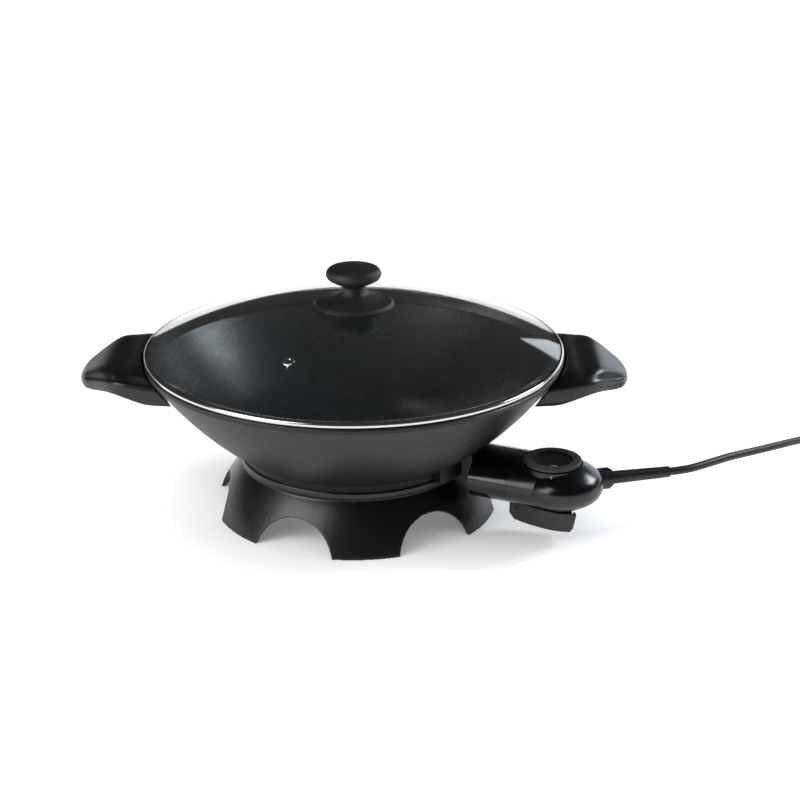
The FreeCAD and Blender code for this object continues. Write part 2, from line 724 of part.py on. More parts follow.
def handle_screw(side, y):
    x = "%d * lug_screw_reach" % side
    head = rod("grip_screw_head", "grip_screw_head_height", x, y, washer_level + " - grip_screw_head_height")
    shank = rod("grip_screw_radius", "grip_screw_depth + washer_sheet", x, y, washer_level)
    return join(head, shank)


piece("handle_washers", group(*at_lugs(washer)))
piece("handle_screws", group(*at_lugs(handle_screw)))

# ---------------------------------------------------------------- lid

band_bottom = "rim_top + lid_gap"
band_top = "rim_top + lid_gap + band_height"
skirt_inner = "band_skirt_radius - band_sheet"
piece("lid_band", turned([
    (skirt_inner, "band_skirt_bottom"),
    ("band_skirt_radius + 1", "band_skirt_bottom"),
    ("band_skirt_radius + 1", "band_skirt_bottom + 1.4", "0.9", 1),
    ("band_skirt_radius", "band_skirt_bottom + 2.4"),
    ("band_skirt_radius", band_bottom),
    ("rim_radius - 1.6", band_bottom),
    ("rim_radius", band_bottom + " + 1.6", "1.6", 1),
    ("rim_radius", band_top + " - 1.6"),
    ("rim_radius - 1.6", band_top, "1.6", 1),
    ("rim_radius - band_lip", band_top),
    ("rim_radius - band_lip", band_top + " - band_sheet / 2"),
    ("rim_radius - band_sheet - 0.6", band_top + " - band_sheet"),
    ("rim_radius - band_sheet - 0.2", band_bottom + " + band_sheet"),
    (skirt_inner, band_bottom + " + band_sheet")]))

glass_edge = "rim_radius - band_sheet - 0.8"
outer_drop = "sqrt(dome_radius ^ 2 - (%s) ^ 2)"
dome_centre = "(dome_top - dome_radius)"
glass_low = band_bottom + " + band_sheet"
glass_ledge = band_top + " - band_sheet - 0.1"
glass_shoulder = "(rim_radius - band_lip - 0.4)"
shoulder_top = dome_centre + " + " + outer_drop % glass_shoulder
inner_meets = "sqrt((dome_radius - glass_sheet) ^ 2 - (%s - %s) ^ 2)" % (glass_low, dome_centre)
glass_blank = turned([
    ("0", "dome_top - glass_sheet"),
    (inner_meets, glass_low, "dome_radius - glass_sheet", -1),
    (glass_edge, glass_low),
    (glass_edge, glass_ledge),
    (glass_shoulder, glass_ledge),
    (glass_shoulder, shoulder_top),
    ("0", "dome_top", "dome_radius", 1)])
vent_level = dome_centre + " + " + outer_drop % "vent_reach"


def at_vent(thing):
    """Stand a thing that was made about Z on the dome at the steam vent."""
    tilted = swing(thing, "asin(vent_reach / dome_radius)", (0, 1, 0))
    place(tilted, "vent_reach", 0, vent_level)
    return swing(group(tilted), "vent_azimuth")


vent_bore = at_vent(rod("vent_neck_radius", "4 * glass_sheet", 0, 0, "-2 * glass_sheet"))
knob_bore = rod("knob_screw_radius + 1.5", "3 * glass_sheet", 0, 0, "dome_top - 2 * glass_sheet")
piece("lid_glass", cut(glass_blank, vent_bore, knob_bore))

eyelet = turned([
    ("vent_hole_radius", "-glass_sheet - 1"),
    ("vent_flange_radius - 0.8", "-glass_sheet - 1"),
    ("vent_flange_radius - 0.8", "-glass_sheet - 0.05"),
    ("vent_neck_radius - 0.02", "-glass_sheet - 0.05"),
    ("vent_neck_radius - 0.02", "0.05"),
    ("vent_flange_radius", "0.05"),
    ("vent_flange_radius - 0.3", "0.8"),
    ("vent_hole_radius + 0.7", "1.3"),
    ("vent_hole_radius", "0.8")])
piece("vent_eyelet", at_vent(eyelet))

flange_base = "dome_top + flange_lift"
rim_low = dome_centre + " + " + outer_drop % "flange_radius" + " + 0.3"
piece("knob_skirt", turned([
    ("knob_screw_radius + 0.2", flange_base),
    ("2 * neck_radius", flange_base),
    ("flange_radius - 1.5", rim_low),
    ("flange_radius", rim_low),
    ("flange_radius", rim_low + " + 1"),
    ("flange_radius - 2.3", rim_low + " + flange_edge"),
    ("neck_radius + 4.5", flange_base + " + 6.5", "60", -1),
    ("neck_radius", "neck_top - 2", "9", -1),
    ("neck_radius", "neck_top"),
    ("knob_screw_radius + 0.2", "neck_top")]))

piece("lid_knob", cut(turned([
    ("0", "neck_top"),
    ("neck_radius", "neck_top"),
    ("knob_waist", "neck_top + 2", "6", -1),
    ("knob_radius - 4", "knob_widest - 5.2", "30", 1),
    ("knob_radius", "knob_widest", "5.5", 1),
    ("knob_radius - 5", "knob_top - 1.6", "6", 1),
    ("0", "knob_top", "((knob_radius - 5) ^ 2 + 1.6 ^ 2) / (2 * 1.6)", 1)]),
    rod("knob_screw_radius", "knob_screw_tip - neck_top + 1.5", 0, 0, "neck_top - 1")))

piece("knob_seal", cut(
    rod("neck_radius", "flange_lift", 0, 0, "dome_top"),
    rod("knob_screw_radius + 1.5", "flange_lift + 2", 0, 0, "dome_top - 1")))
under_glass = "dome_top - glass_sheet - 0.1"
piece("knob_washer", cut(
    rod("knob_screw_head + 4", "washer_sheet", 0, 0, under_glass + " - washer_sheet"),
    rod("knob_screw_radius", "washer_sheet + 2", 0, 0, under_glass + " - washer_sheet - 1")))
piece("knob_screw", join(
    rod("knob_screw_head", "2.4", 0, 0, under_glass + " - washer_sheet - 2.4"),
    rod("knob_screw_radius", "knob_screw_tip - (%s - washer_sheet)" % under_glass, 0, 0,
        under_glass + " - washer_sheet")))

# ---------------------------------------------------------------- control: hood and housing

pan_keepout = turned([
    (c[0] if c[0] == "0" else c[0] + " + pan_clearance",) + tuple(c[1:]) for c in pan_outside])
hood = cut(
    oval_bar("hood_half_width", "hood_half_height", "hood_start", "hood_end", "probe_height"),
    oval_bar("hood_half_width - shell_wall", "hood_half_height - shell_wall",
             "hood_start - 1", "hood_end + 1", "probe_height"),
    pan_keepout)
wide = "4 * hood_half_width"
high = "2 * hood_half_height"
hood_span = "hood_end - hood_start + 20"
piece("hood_upper", swing(group(common(
    hood, box(hood_span, wide, high, "hood_start - 10", 0, "hood_parting"))), "probe_azimuth"))
piece("hood_lower", swing(group(common(
    hood, box(hood_span, wide, high, "hood_start - 10", 0, "hood_parting - (%s)" % high))), "probe_azimuth"))


def bulb(inset, start):
    """The round housing with its neck, or the space inside it when inset by the wall."""
    reach = "(bulb_radius - %s)" % inset
    half = "(bulb_half_height - %s)" % inset
    side = "(bulb_side_round - %s)" % inset
    crown = "((%s - %s) ^ 2 + %s ^ 2 - %s ^ 2) / (2 * (%s - %s))" % (reach, side, half, side, half, side)
    crown = "(%s)" % crown
    share = "(%s / (%s - %s))" % (crown, crown, side)
    meet_x = "(%s - %s) * %s" % (reach, side, share)
    meet_z = "((%s - %s) * (%s - 1))" % (crown, half, share)
    ball = turned([
        ("0", "-" + half),
        (meet_x, "-" + meet_z, crown, 1),
        (reach, "0", side, 1),
        (meet_x, meet_z, side, 1),
        ("0", half, crown, 1)])
    place(ball, "bulb_reach", 0, "probe_height")
    neck = oval_bar("hood_half_width - %s" % inset, "hood_half_height - %s" % inset,
                    start, "bulb_reach", "probe_height")
    seat = rod("dial_seat_radius - %s" % inset, "dial_seat - probe_height - %s" % inset,
               "dial_reach", 0, "probe_height")
    return join(ball, neck, seat)


top_trim = rod("dial_seat_radius", "bulb_half_height", "dial_reach", 0, "dial_seat")
housing_form = cut(bulb("0", "housing_start"), top_trim)
hollow_trim = box("3 * bulb_radius", "3 * bulb_radius", "bulb_half_height", "housing_start - 5", 0,
                  "dial_seat - shell_wall")
housing_hollow = cut(bulb("shell_wall", "housing_start - 1"), hollow_trim)
cord_swing = "cord_azimuth - probe_azimuth"


def along_cord(thing):
    """Turn a thing made along X to the cord's direction, about the dial's axis."""
    turned_thing = swing(group(thing), cord_swing)
    place(turned_thing, "dial_reach", 0, 0)
    return turned_thing


collar_bore = along_cord(rod("collar_radius", "collar_end - collar_start + 10", "collar_start - 5", 0,
                             "cord_height", "x"))


post_angles = (0, 95, 265)


def at_posts(make):
    """The same thing at the three screws of the housing."""
    made = []
    for angle in post_angles:
        x = "dial_reach + housing_screw_circle * cos(%d)" % angle
        y = "housing_screw_circle * sin(%d)" % angle
        made.append(make(x, y))
    return made


posts = at_posts(lambda x, y: rod("post_radius", "2 * bulb_half_height", x, y,
                                  "probe_height - bulb_half_height"))
post_bars = common(group(*posts), housing_form)
screw_top = "housing_parting + 10"
screw_holes = at_posts(lambda x, y: rod("housing_screw_radius", "%s - housing_screw_seat + 1" % screw_top,
                                        x, y, "housing_screw_seat - 1"))
head_holes = at_posts(lambda x, y: rod("housing_screw_head + 0.2", "housing_screw_seat", x, y, 0))
spindle_hole = rod("spindle_radius + spindle_clearance", "4 * shell_wall", "dial_reach", 0,
                   "dial_seat - 2 * shell_wall")


def lamp_axis(radius, start, end):
    """A level rod on the pilot lamp's axis, between two distances from the dial's axis."""
    bar = rod(radius, "%s - (%s)" % (end, start), start, 0, "lamp_level", "x")
    turned_bar = swing(group(bar), "lamp_azimuth")
    place(turned_bar, "dial_reach", 0, 0)
    return turned_bar


lamp_hole = lamp_axis("lamp_radius", "lamp_start", "dial_seat_radius + 5")
shell = cut(housing_form, housing_hollow)
housing = cut(join(shell, post_bars), collar_bore, spindle_hole, lamp_hole, *screw_holes, *head_holes)
housing_span = "3 * bulb_radius"
upper_box = box(housing_span, housing_span, "3 * bulb_half_height", "housing_start", 0, "housing_parting")
lower_box = box(housing_span, housing_span, "3 * bulb_half_height", "housing_start", 0,
                "housing_parting - 3 * bulb_half_height")
piece("housing_upper", swing(group(common(housing, upper_box)), "probe_azimuth"))

ear_top = "probe_height - bulb_half_height + 2"
ears = []
for hand in (1, -1):
    ear_y = "%d * (hinge_ear_gap + hinge_ear) / 2" % hand
    ear_round = rod("hinge_ear_radius", "hinge_ear", "hinge_reach",
                    ear_y + " - hinge_ear / 2", "hinge_height", "y")
    ear_plate = box("hinge_reach + hinge_ear_radius - housing_start", "hinge_ear",
                    "%s - hinge_height" % ear_top, "housing_start", ear_y, "hinge_height")
    ears += [ear_round, ear_plate]
pin_hole = rod("hinge_pin_radius", "4 * lever_half_width", "hinge_reach", "-2 * lever_half_width",
               "hinge_height", "y")
lower_shell = common(housing, lower_box)
ear_solids = cut(join(*ears), housing_hollow)
piece("housing_lower", swing(cut(join(lower_shell, ear_solids), pin_hole), "probe_azimuth"))


def housing_screw(x, y):
    head = rod("housing_screw_head", "2.5", x, y, "housing_screw_seat - 2.5")
    shank = rod("housing_screw_radius", "%s - housing_screw_seat" % screw_top, x, y, "housing_screw_seat")
    return join(head, shank)


piece("housing_screws", swing(group(*at_posts(housing_screw)), "probe_azimuth"))

lens = common(lamp_axis("lamp_radius", "lamp_lens_start", "dial_seat_radius + 5"), housing_form)
piece("lamp_lens", swing(group(lens), "probe_azimuth"))
piece("pilot_lamp", swing(group(lamp_axis("lamp_radius - 0.1", "lamp_start", "lamp_lens_start")),
                          "probe_azimuth"))

# ---------------------------------------------------------------- control: inside

block_bores = both_pins(lambda y: rod("pin_radius + rod_clearance + clip_wall", "block_end", "block_start - 5",
                                      y, "probe_height", "x"))
piece("terminal_block", swing(cut(
    oval_bar("hood_half_width - shell_wall", "hood_half_height - shell_wall", "block_start", "block_end",
             "probe_height"),
    rod("rod_radius", "block_end", "block_start - 5", 0, "probe_height", "x"),
    *block_bores), "probe_azimuth"))
clips = both_pins(lambda y: cut(
    rod("pin_radius + rod_clearance + clip_wall", "block_end - clip_start", "clip_start", y, "probe_height", "x"),
    rod("pin_radius + rod_clearance", "pin_tip - clip_start + 2", "clip_start - 1", y, "probe_height", "x")))
piece("contact_sleeves", swing(group(*clips), "probe_azimuth"))
piece("temperature_rod", swing(rod("rod_radius", "block_end - rod_tip", "rod_tip", 0, "probe_height", "x"),
                               "probe_azimuth"))

frame_channel = extruded("XZ_Plane", [
    ("block_end", "frame_low"),
    ("block_end + frame_length", "frame_low"),
    ("block_end + frame_length", "frame_low + frame_sheet"),
    ("block_end + frame_sheet", "frame_low + frame_sheet"),
    ("block_end + frame_sheet", "frame_high - frame_sheet"),
    ("block_end + frame_length", "frame_high - frame_sheet"),
    ("block_end + frame_length", "frame_high"),
    ("block_end", "frame_high")], "frame_width", True)
piece("thermostat_frame", swing(cut(
    frame_channel,
    rod("spindle_radius + spindle_clearance", "2 * frame_sheet", "dial_reach", 0,
        "frame_high - 1.5 * frame_sheet")), "probe_azimuth"))
stack_start = "block_end + frame_sheet"
inside_low = "frame_low + frame_sheet"
inside_height = "frame_high - frame_low - 2 * frame_sheet"
bimetal_level = "spindle_foot - dial_gap - blade_sheet"
contact_level = "frame_low + frame_sheet + 1.2"
piece("insulator_stack", swing(box(
    "stack_length", "frame_width - 6", inside_height, stack_start, 0, inside_low), "probe_azimuth"))
blade_start = stack_start + " + stack_length"
blade_length = "frame_length - frame_sheet - stack_length - 2"
piece("bimetal_blade", swing(box(blade_length, "8", "blade_sheet", blade_start, 0, bimetal_level),
                             "probe_azimuth"))
piece("contact_blade", swing(box(blade_length, "6", "blade_sheet", blade_start, 0, contact_level),
                             "probe_azimuth"))
contact_x = "block_end + frame_length - 5"
piece("contact_rivets", swing(rod(
    "1.8", "%s - (%s) - blade_sheet" % (bimetal_level, contact_level), contact_x, 0,
    contact_level + " + blade_sheet"), "probe_azimuth"))

# ---------------------------------------------------------------- control: dial

dial_low = "dial_seat + dial_gap"
cap_level = "dial_top - dial_recess"
dial_blank = turned([
    ("0", dial_low),
    ("dial_radius - 0.6", dial_low),
    ("dial_radius", dial_low + " + 0.8"),
    ("dial_radius", "dial_top - 0.8"),
    ("dial_radius - 0.8", "dial_top", "0.8", 1),
    ("dial_radius - dial_rim", "dial_top"),
    ("dial_radius - dial_rim", cap_level + " - 1"),
    ("0", cap_level + " - 1")])
spindle_top = cap_level + " - 1"
dial_ring = cut(dial_blank, rod("spindle_radius", "dial_top", 0, 0, "dial_seat - 1"))
dial_ring_placed = place(group(dial_ring), "dial_reach", 0, 0)
piece("dial_ring", swing(group(dial_ring_placed), "probe_azimuth"))
piece("dial_cap", swing(rod("dial_radius - dial_rim", "1", "dial_reach", 0, cap_level + " - 1"),
                        "probe_azimuth"))
piece("dial_spindle", swing(rod("spindle_radius", "%s - spindle_foot" % spindle_top, "dial_reach", 0,
                                "spindle_foot"), "probe_azimuth"))

# ---------------------------------------------------------------- control: release lever

lever_plan = [
    ("lever_front", "-{0}"),
    ("hinge_reach", "-{1}"),
    ("lever_widest", "-{2}", "lever_side_round", 1),
    ("lever_tip", "-{3}", "lever_tip_round", 1),
    ("lever_tip - lever_tip_skew", "{3}"),
    ("lever_widest", "{2}", "lever_tip_round", 1),
    ("hinge_reach", "{1}", "lever_side_round", 1),
    ("lever_front", "{0}")]


def lever_form(inset):
    """The lever's tray seen from above, or the space inside its walls."""
    halves = ["(%s - %s)" % (half, inset)
              for half in ("lever_nose", "lever_shoulder", "lever_half_width", "lever_tip_half")]
    return extruded("XY_Plane", [tuple(str(v).format(*halves) if isinstance(v, str) else v for v in c)
                                 for c in lever_plan], "lever_top + 20")


lever_side = extruded("XZ_Plane", [
    ("lever_front", "lever_bottom + 5"),
    ("lever_front + 5", "lever_bottom"),
    ("lever_tip - lever_rake", "lever_bottom"),
    ("lever_tip", "lever_top"),
    ("hood_end + 1", "lever_top"),
    ("lever_front", "lever_top - lever_front_drop")], "4 * lever_half_width", True)
lever_space = extruded("XZ_Plane", [
    ("lever_front + lever_wall", "lever_bottom + 5 + lever_wall / 2"),
    ("lever_front + 5 + lever_wall / 2", "lever_bottom + lever_wall"),
    ("lever_tip - lever_rake - lever_wall", "lever_bottom + lever_wall"),
    ("lever_tip - lever_wall", "lever_top + 10"),
    ("lever_front + lever_wall", "lever_top + 10")], "4 * lever_half_width", True)
lever_bore = rod("hinge_pin_radius + hinge_clearance", "4 * lever_half_width", "hinge_reach",
                 "-2 * lever_half_width", "hinge_height", "y")
lever = cut(common(lever_form("0"), lever_side), common(lever_form("lever_wall"), lever_space), lever_bore)
piece("release_lever", swing(lever, "probe_azimuth"))
pin_half = "(lever_shoulder + 0.1)"
piece("lever_pin", swing(rod("hinge_pin_radius", "2 * " + pin_half, "hinge_reach", "-" + pin_half,
                             "hinge_height", "y"), "probe_azimuth"))
coil_half = "(hinge_ear_gap / 2 - 0.2)"
spring_coil = rod("hinge_pin_radius + 1.2", "2 * " + coil_half, "hinge_reach", "-" + coil_half,
                  "hinge_height", "y")
spring_leg = box("1.2", "1.2", "%s - hinge_height - 2.3" % ear_top, "hinge_reach + 0.4",
                 "0", "hinge_height")
spring_bore = rod("hinge_pin_radius + 0.05", "4 * lever_half_width", "hinge_reach", "-2 * lever_half_width",
                  "hinge_height", "y")
piece("lever_spring", swing(cut(join(spring_coil, spring_leg), spring_bore), "probe_azimuth"))

# ---------------------------------------------------------------- control: where the cord leaves

wire_bore = rod("cord_radius", "collar_end", "collar_start - 5", 0, "cord_height", "x")
collar = join(
    rod("collar_radius", "collar_end - collar_lip - collar_start", "collar_start", 0, "cord_height", "x"),
    rod("collar_lip_radius", "collar_lip", "collar_end - collar_lip", 0, "cord_height", "x"))
piece("cord_collar", swing(group(along_cord(cut(collar, wire_bore))), "probe_azimuth"))
relief = doc.addObject("Part::Cone", "Relief")
relief.Placement.Rotation = FreeCAD.Rotation(FreeCAD.Vector(1, 1, 1), 120)
drive(relief, Radius1="relief_radius", Radius2="relief_tip_radius", Height="relief_end - collar_end")
place(relief, "collar_end", 0, "cord_height")
piece("strain_relief", swing(group(along_cord(relief)), "probe_azimuth"))

# The short stretch of lead inside the collar, and the clamp that holds it in the housing.
tail_start = "collar_start - 12"
piece("cord_tail", swing(group(along_cord(rod(
    "cord_radius", "collar_end - (%s)" % tail_start, tail_start, 0, "cord_height", "x"))), "probe_azimuth"))
clamp_low = "probe_height - bulb_half_height + shell_wall + 0.5"
clamp = cut(
    box("6", "12", "cord_height + cord_radius + 2 - (%s)" % clamp_low, "collar_start - 9", 0, clamp_low),
    rod("cord_radius", "20", "collar_start - 16", 0, "cord_height", "x"))
piece("cord_clamp", swing(group(common(along_cord(clamp), housing_hollow)), "probe_azimuth"))

# ---------------------------------------------------------------- mains lead

dial_x = number("dial_reach * cos(probe_azimuth)")
dial_y = number("dial_reach * sin(probe_azimuth)")
relief_end = number("relief_end")
leaving = math.radians(number("cord_azimuth"))
straight_x = math.cos(leaving)
straight_y = math.sin(leaving)
exit_x = dial_x + relief_end * straight_x
exit_y = dial_y + relief_end * straight_y
exit_z = number("cord_height")

route = [
    (exit_x, exit_y, exit_z),
    (exit_x + 16 * straight_x, exit_y + 16 * straight_y, exit_z),
    (302.5, -34.4, 47.4),
    (327, -13.6, 45.6),
    (345.5, 3.4, 42),
    (371, 29.6, 36),
    (396, 58, 29),
    (416.5, 85.2, 21),
    (431, 108, 12.5),
    (441, 127, 6.5),
    (444.5, 144, 3.5),
    (445.8, 160, 3.5)]
tail_route = [
    (505.5, 112.2, 10.5),
    (496.5, 96.4, 14),
    (487, 80, 18.5),
    (480.3, 68.3, 18.5)]


def cord_tube(points, radius):
    """A round tube of straight runs joined by tangent arcs."""
    places = [FreeCAD.Vector(*p) for p in points]
    runs = [(b - a).Length for a, b in zip(places, places[1:])]
    edges = []
    here = places[0]
    for index in range(1, len(places) - 1):
        before = (places[index] - places[index - 1]).normalize()
        after = (places[index + 1] - places[index]).normalize()
        half_turn = before.getAngle(after) / 2
        reach = 0.45 * min(runs[index - 1], runs[index])
        bend = reach / math.tan(half_turn)
        print("cord bend radius %.0f mm, turn %.0f degrees" % (bend, math.degrees(2 * half_turn)))
        start = places[index] - before * reach
        end = places[index] + after * reach
        inward = (after - before).normalize()
        middle = places[index] + inward * (bend / math.cos(half_turn) - bend)
        edges.append(Part.LineSegment(here, start).toShape())
        edges.append(Part.Arc(start, middle, end).toShape())
        here = end
    edges.append(Part.LineSegment(here, places[-1]).toShape())
    path = Part.Wire(edges)
    direction = (places[1] - places[0]).normalize()
    profile = Part.Wire([Part.makeCircle(radius, places[0], direction)])
    tube = path.makePipeShell([profile], True, False)
    expected = math.pi * radius ** 2 * path.Length
    print("cord length %.1f mm, volume %.4f of section times length" % (path.Length, tube.Volume / expected))
    return tube


def solid_feature(name, shape):
    feature = doc.addObject("Part::Feature", name)
    feature.Shape = shape
    return piece(name, feature)


solid_feature("cord", cord_tube(route, number("cord_radius")))
solid_feature("cord_end", cord_tube(tail_route, number("cord_radius")))

coil_x = number("coil_x")
coil_y = number("coil_y")
coil_height = number("coil_height")


def coil_ring(shrink):
    """The outer form of the wound turns: a flat ring with rounded corners."""
    inner = number("coil_inside") + shrink
    outer = number("coil_outside") - shrink
    ring = Part.makeCylinder(outer, coil_height - 2 * shrink, FreeCAD.Vector(coil_x, coil_y, shrink))
    hole = Part.makeCylinder(inner, coil_height, FreeCAD.Vector(coil_x, coil_y, 0))
    wound = ring.cut(hole)
    round_edges = [edge for edge in wound.Edges if edge.Closed and len(edge.Vertexes) == 1]
    return wound.makeFillet(number("cord_radius") - 0.5, round_edges)


coil_full = coil_ring(0)
coil_slim = coil_ring(1)
tie_width = number("tie_width")
tie_zone = Part.makeBox(2 * number("coil_outside"), tie_width, 3 * coil_height,
                        FreeCAD.Vector(coil_x, coil_y - tie_width / 2, -coil_height))
solid_feature("cord_coil", coil_full.cut(tie_zone).fuse(coil_slim.common(tie_zone)).removeSplitter())
solid_feature("cord_tie", coil_full.common(tie_zone).cut(coil_slim))

plug_start = FreeCAD.Vector(*tail_route[-1])
plug_heading = FreeCAD.Vector(*tail_route[-1]) - FreeCAD.Vector(*tail_route[-2])
plug_heading.z = 0
plug_turn = FreeCAD.Rotation(FreeCAD.Vector(0, 0, 1), plug_heading)

plug_blank = turned([
    ("0", "0"),
    ("cord_radius + 1.2", "0"),
    ("plug_radius / 2", "plug_neck"),
    ("plug_radius - 4", "plug_neck + 1"),
    ("plug_radius", "plug_neck + 8", "10", 1),
    ("plug_radius", "plug_neck + plug_length"),
    ("0", "plug_neck + plug_length")])
plug_slots = [box("6", "6", "plug_length - 12", "%d * (plug_radius - 0.5) - 3" % side, 0, "plug_neck + 14")
              for side in (1, -1)]
pin_bores = [rod("plug_pin_radius", "12", "0", "%d * plug_pin_spacing / 2" % hand,
                 "plug_neck + plug_length - 10") for hand in (1, -1)]
plug_body = cut(plug_blank, *plug_slots, *pin_bores)
plug_pins = group(*[rod("plug_pin_radius", "plug_pin_length + 10", "0", "%d * plug_pin_spacing / 2" % hand,
                        "plug_neck + plug_length - 10") for hand in (1, -1)])
plug_clips = group(*[box("0.8", "4", "plug_length - 12", "%d * (plug_radius - 3.1) - 0.4" % side, 0,
                         "plug_neck + 14") for side in (1, -1)])
for name, thing in (("plug_body", plug_body), ("plug_pins", plug_pins), ("plug_earth_clips", plug_clips)):
    thing.Placement = FreeCAD.Placement(plug_start, plug_turn)
    piece(name, thing)

# ---------------------------------------------------------------- check and write

doc.recompute()
failed = [thing.Label for thing in doc.Objects if "Invalid" in thing.State or "Error" in thing.State]
for thing in pieces:
    if thing.Shape.isNull() or not thing.Shape.isValid():
        failed.append(thing.Label)
if failed:
    raise RuntimeError("not built: " + ", ".join(failed))
os.makedirs("parts", exist_ok=True)
for thing in pieces:
    thing.Shape.exportStep("parts/%s.step" % thing.Label)
    print("%-18s %2d solids, %9.1f mm3" % (thing.Label, len(thing.Shape.Solids), thing.Shape.Volume))
print(len(pieces), "nodes")
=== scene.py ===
import math

import bmesh
import bpy
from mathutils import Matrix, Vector


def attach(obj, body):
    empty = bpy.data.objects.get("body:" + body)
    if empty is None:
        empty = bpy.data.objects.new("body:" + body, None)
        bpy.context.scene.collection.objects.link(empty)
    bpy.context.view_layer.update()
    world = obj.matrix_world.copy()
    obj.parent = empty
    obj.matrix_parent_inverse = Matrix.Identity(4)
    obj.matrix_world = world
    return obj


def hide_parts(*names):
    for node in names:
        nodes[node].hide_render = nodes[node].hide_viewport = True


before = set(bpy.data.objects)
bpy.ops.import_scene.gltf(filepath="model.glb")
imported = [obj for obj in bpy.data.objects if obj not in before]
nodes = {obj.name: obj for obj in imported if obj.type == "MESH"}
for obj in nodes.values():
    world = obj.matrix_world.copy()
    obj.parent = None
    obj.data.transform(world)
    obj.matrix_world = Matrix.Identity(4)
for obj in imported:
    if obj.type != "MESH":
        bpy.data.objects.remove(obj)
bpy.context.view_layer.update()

# ---------------------------------------------------------------- viewer
# A viewer in front of the table looks down at the wok by some 21 degrees,
# from a metre and a half away.
view = bpy.data.cameras.new("view")
view.lens = 78.75
view.sensor_width = 36
viewer = bpy.data.objects.new("view", view)
viewer.location = (0.03929, -1.41835, 0.65062)
viewer.rotation_euler = (math.radians(68.55), 0, 0)
bpy.context.scene.collection.objects.link(viewer)
bpy.context.scene.camera = viewer
bpy.context.scene.view_settings.view_transform = "Standard"


# ---------------------------------------------------------------- lamps
# Three soft lamps light the wok: one at the front left, one with cooler light behind it at the
# right, and a weak low one beside that. The rest of the room is nearly dark.
lamp_aim = Vector((0, 0, 0.08))
room_glow = 0.05


def lamp(name, azimuth, elevation, distance, width, height, glow, colour):
    """A soft lamp in a direction seen from the wok (0 is away from the viewer, 90 is right)."""
    light = bpy.data.lights.new(name, "AREA")
    light.shape = "RECTANGLE"
    light.size = width
    light.size_y = height
    light.energy = glow * math.pi * width * height
    light.color = colour
    across = math.radians(azimuth)
    up = math.radians(elevation)
    away = Vector((math.sin(across) * math.cos(up),
                   math.cos(across) * math.cos(up),
                   math.sin(up)))
    thing = bpy.data.objects.new(name, light)
    thing.location = away * distance + lamp_aim
    thing.rotation_euler = (-away).to_track_quat("-Z", "Y").to_euler()
    thing.visible_camera = False
    bpy.context.scene.collection.objects.link(thing)


lamp("lamp_front_left", azimuth=-126, elevation=29, distance=2.1,
     width=1.4, height=1.6, glow=4.8, colour=(1, 0.985, 0.96))
lamp("lamp_back_right", azimuth=69, elevation=31, distance=2.1,
     width=0.8, height=0.6, glow=17.0, colour=(0.80, 0.89, 1))
lamp("lamp_back_low", azimuth=37, elevation=12, distance=2.1,
     width=1.1, height=0.6, glow=1.6, colour=(0.84, 0.91, 1))

room = bpy.data.worlds.new("room")
bpy.context.scene.world = room
room.use_nodes = True
room_light = room.node_tree.nodes["Background"]
room_light.inputs["Color"].default_value = (1, 1, 1, 1)
room_light.inputs["Strength"].default_value = room_glow

# ---------------------------------------------------------------- table
# A plain white table top runs up into a low white backdrop all round. It isn't part of the wok.
# Its glow is weaker near the wok and carries a painted contact shadow under and around it.
table_reach = 3.2
table_gap = 0.0001
table_grey = (0.86, 0.86, 0.86, 1)
backdrop_radius = 0.3
shadow_reach = 0.12
sweep_steps = 8
sides = 64
rings = [(0.6, 0.0), (1.2, 0.0), (2.0, 0.0), (table_reach, 0.0)]
for step in range(1, sweep_steps + 1):
    turn = math.radians(90) * step / sweep_steps
    rings.append((table_reach + backdrop_radius * math.sin(turn),
                  backdrop_radius * (1 - math.cos(turn))))
table_mesh = bpy.data.meshes.new("table")
shell = bmesh.new()
loops = []
for reach, height in rings:
    loops.append([shell.verts.new((reach * math.cos(2 * math.pi * side / sides),
                                   reach * math.sin(2 * math.pi * side / sides),
                                   height - table_gap)) for side in range(sides)])
shell.faces.new(loops[0])
for lower, upper in zip(loops, loops[1:]):
    for side in range(sides):
        after = (side + 1) % sides
        shell.faces.new((lower[side], upper[side], upper[after], lower[after]))
shell.to_mesh(table_mesh)
shell.free()
for face in table_mesh.polygons:
    face.use_smooth = True
table = bpy.data.objects.new("table", table_mesh)
bpy.context.scene.collection.objects.link(table)

table_white = bpy.data.materials.new("table_white")
table_white.use_nodes = True
paper = table_white.node_tree
matt = paper.nodes["Principled BSDF"]
matt.inputs["Base Color"].default_value = table_grey
matt.inputs["Roughness"].default_value = 0.9
matt.inputs["Specular IOR Level"].default_value = 0.1
rays = paper.nodes.new("ShaderNodeLightPath")
plain = rays.outputs["Is Camera Ray"]
for other in ("Is Glossy Ray", "Is Transmission Ray"):
    either = paper.nodes.new("ShaderNodeMath")
    either.operation = "MAXIMUM"
    paper.links.new(plain, either.inputs[0])
    paper.links.new(rays.outputs[other], either.inputs[1])
    plain = either.outputs[0]
spot = paper.nodes.new("ShaderNodeNewGeometry")
radius = paper.nodes.new("ShaderNodeVectorMath")
radius.operation = "LENGTH"
paper.links.new(spot.outputs["Position"], radius.inputs[0])
# The glow for the viewer and for reflections is weaker within 0.3 m of the middle and rises to full
# by 1.3 m.
lift = paper.nodes.new("ShaderNodeMapRange")
lift.inputs["From Min"].default_value = 0.3
lift.inputs["From Max"].default_value = 1.3
lift.inputs["To Min"].default_value = 0.84
lift.inputs["To Max"].default_value = 1.0
paper.links.new(radius.outputs["Value"], lift.inputs["Value"])
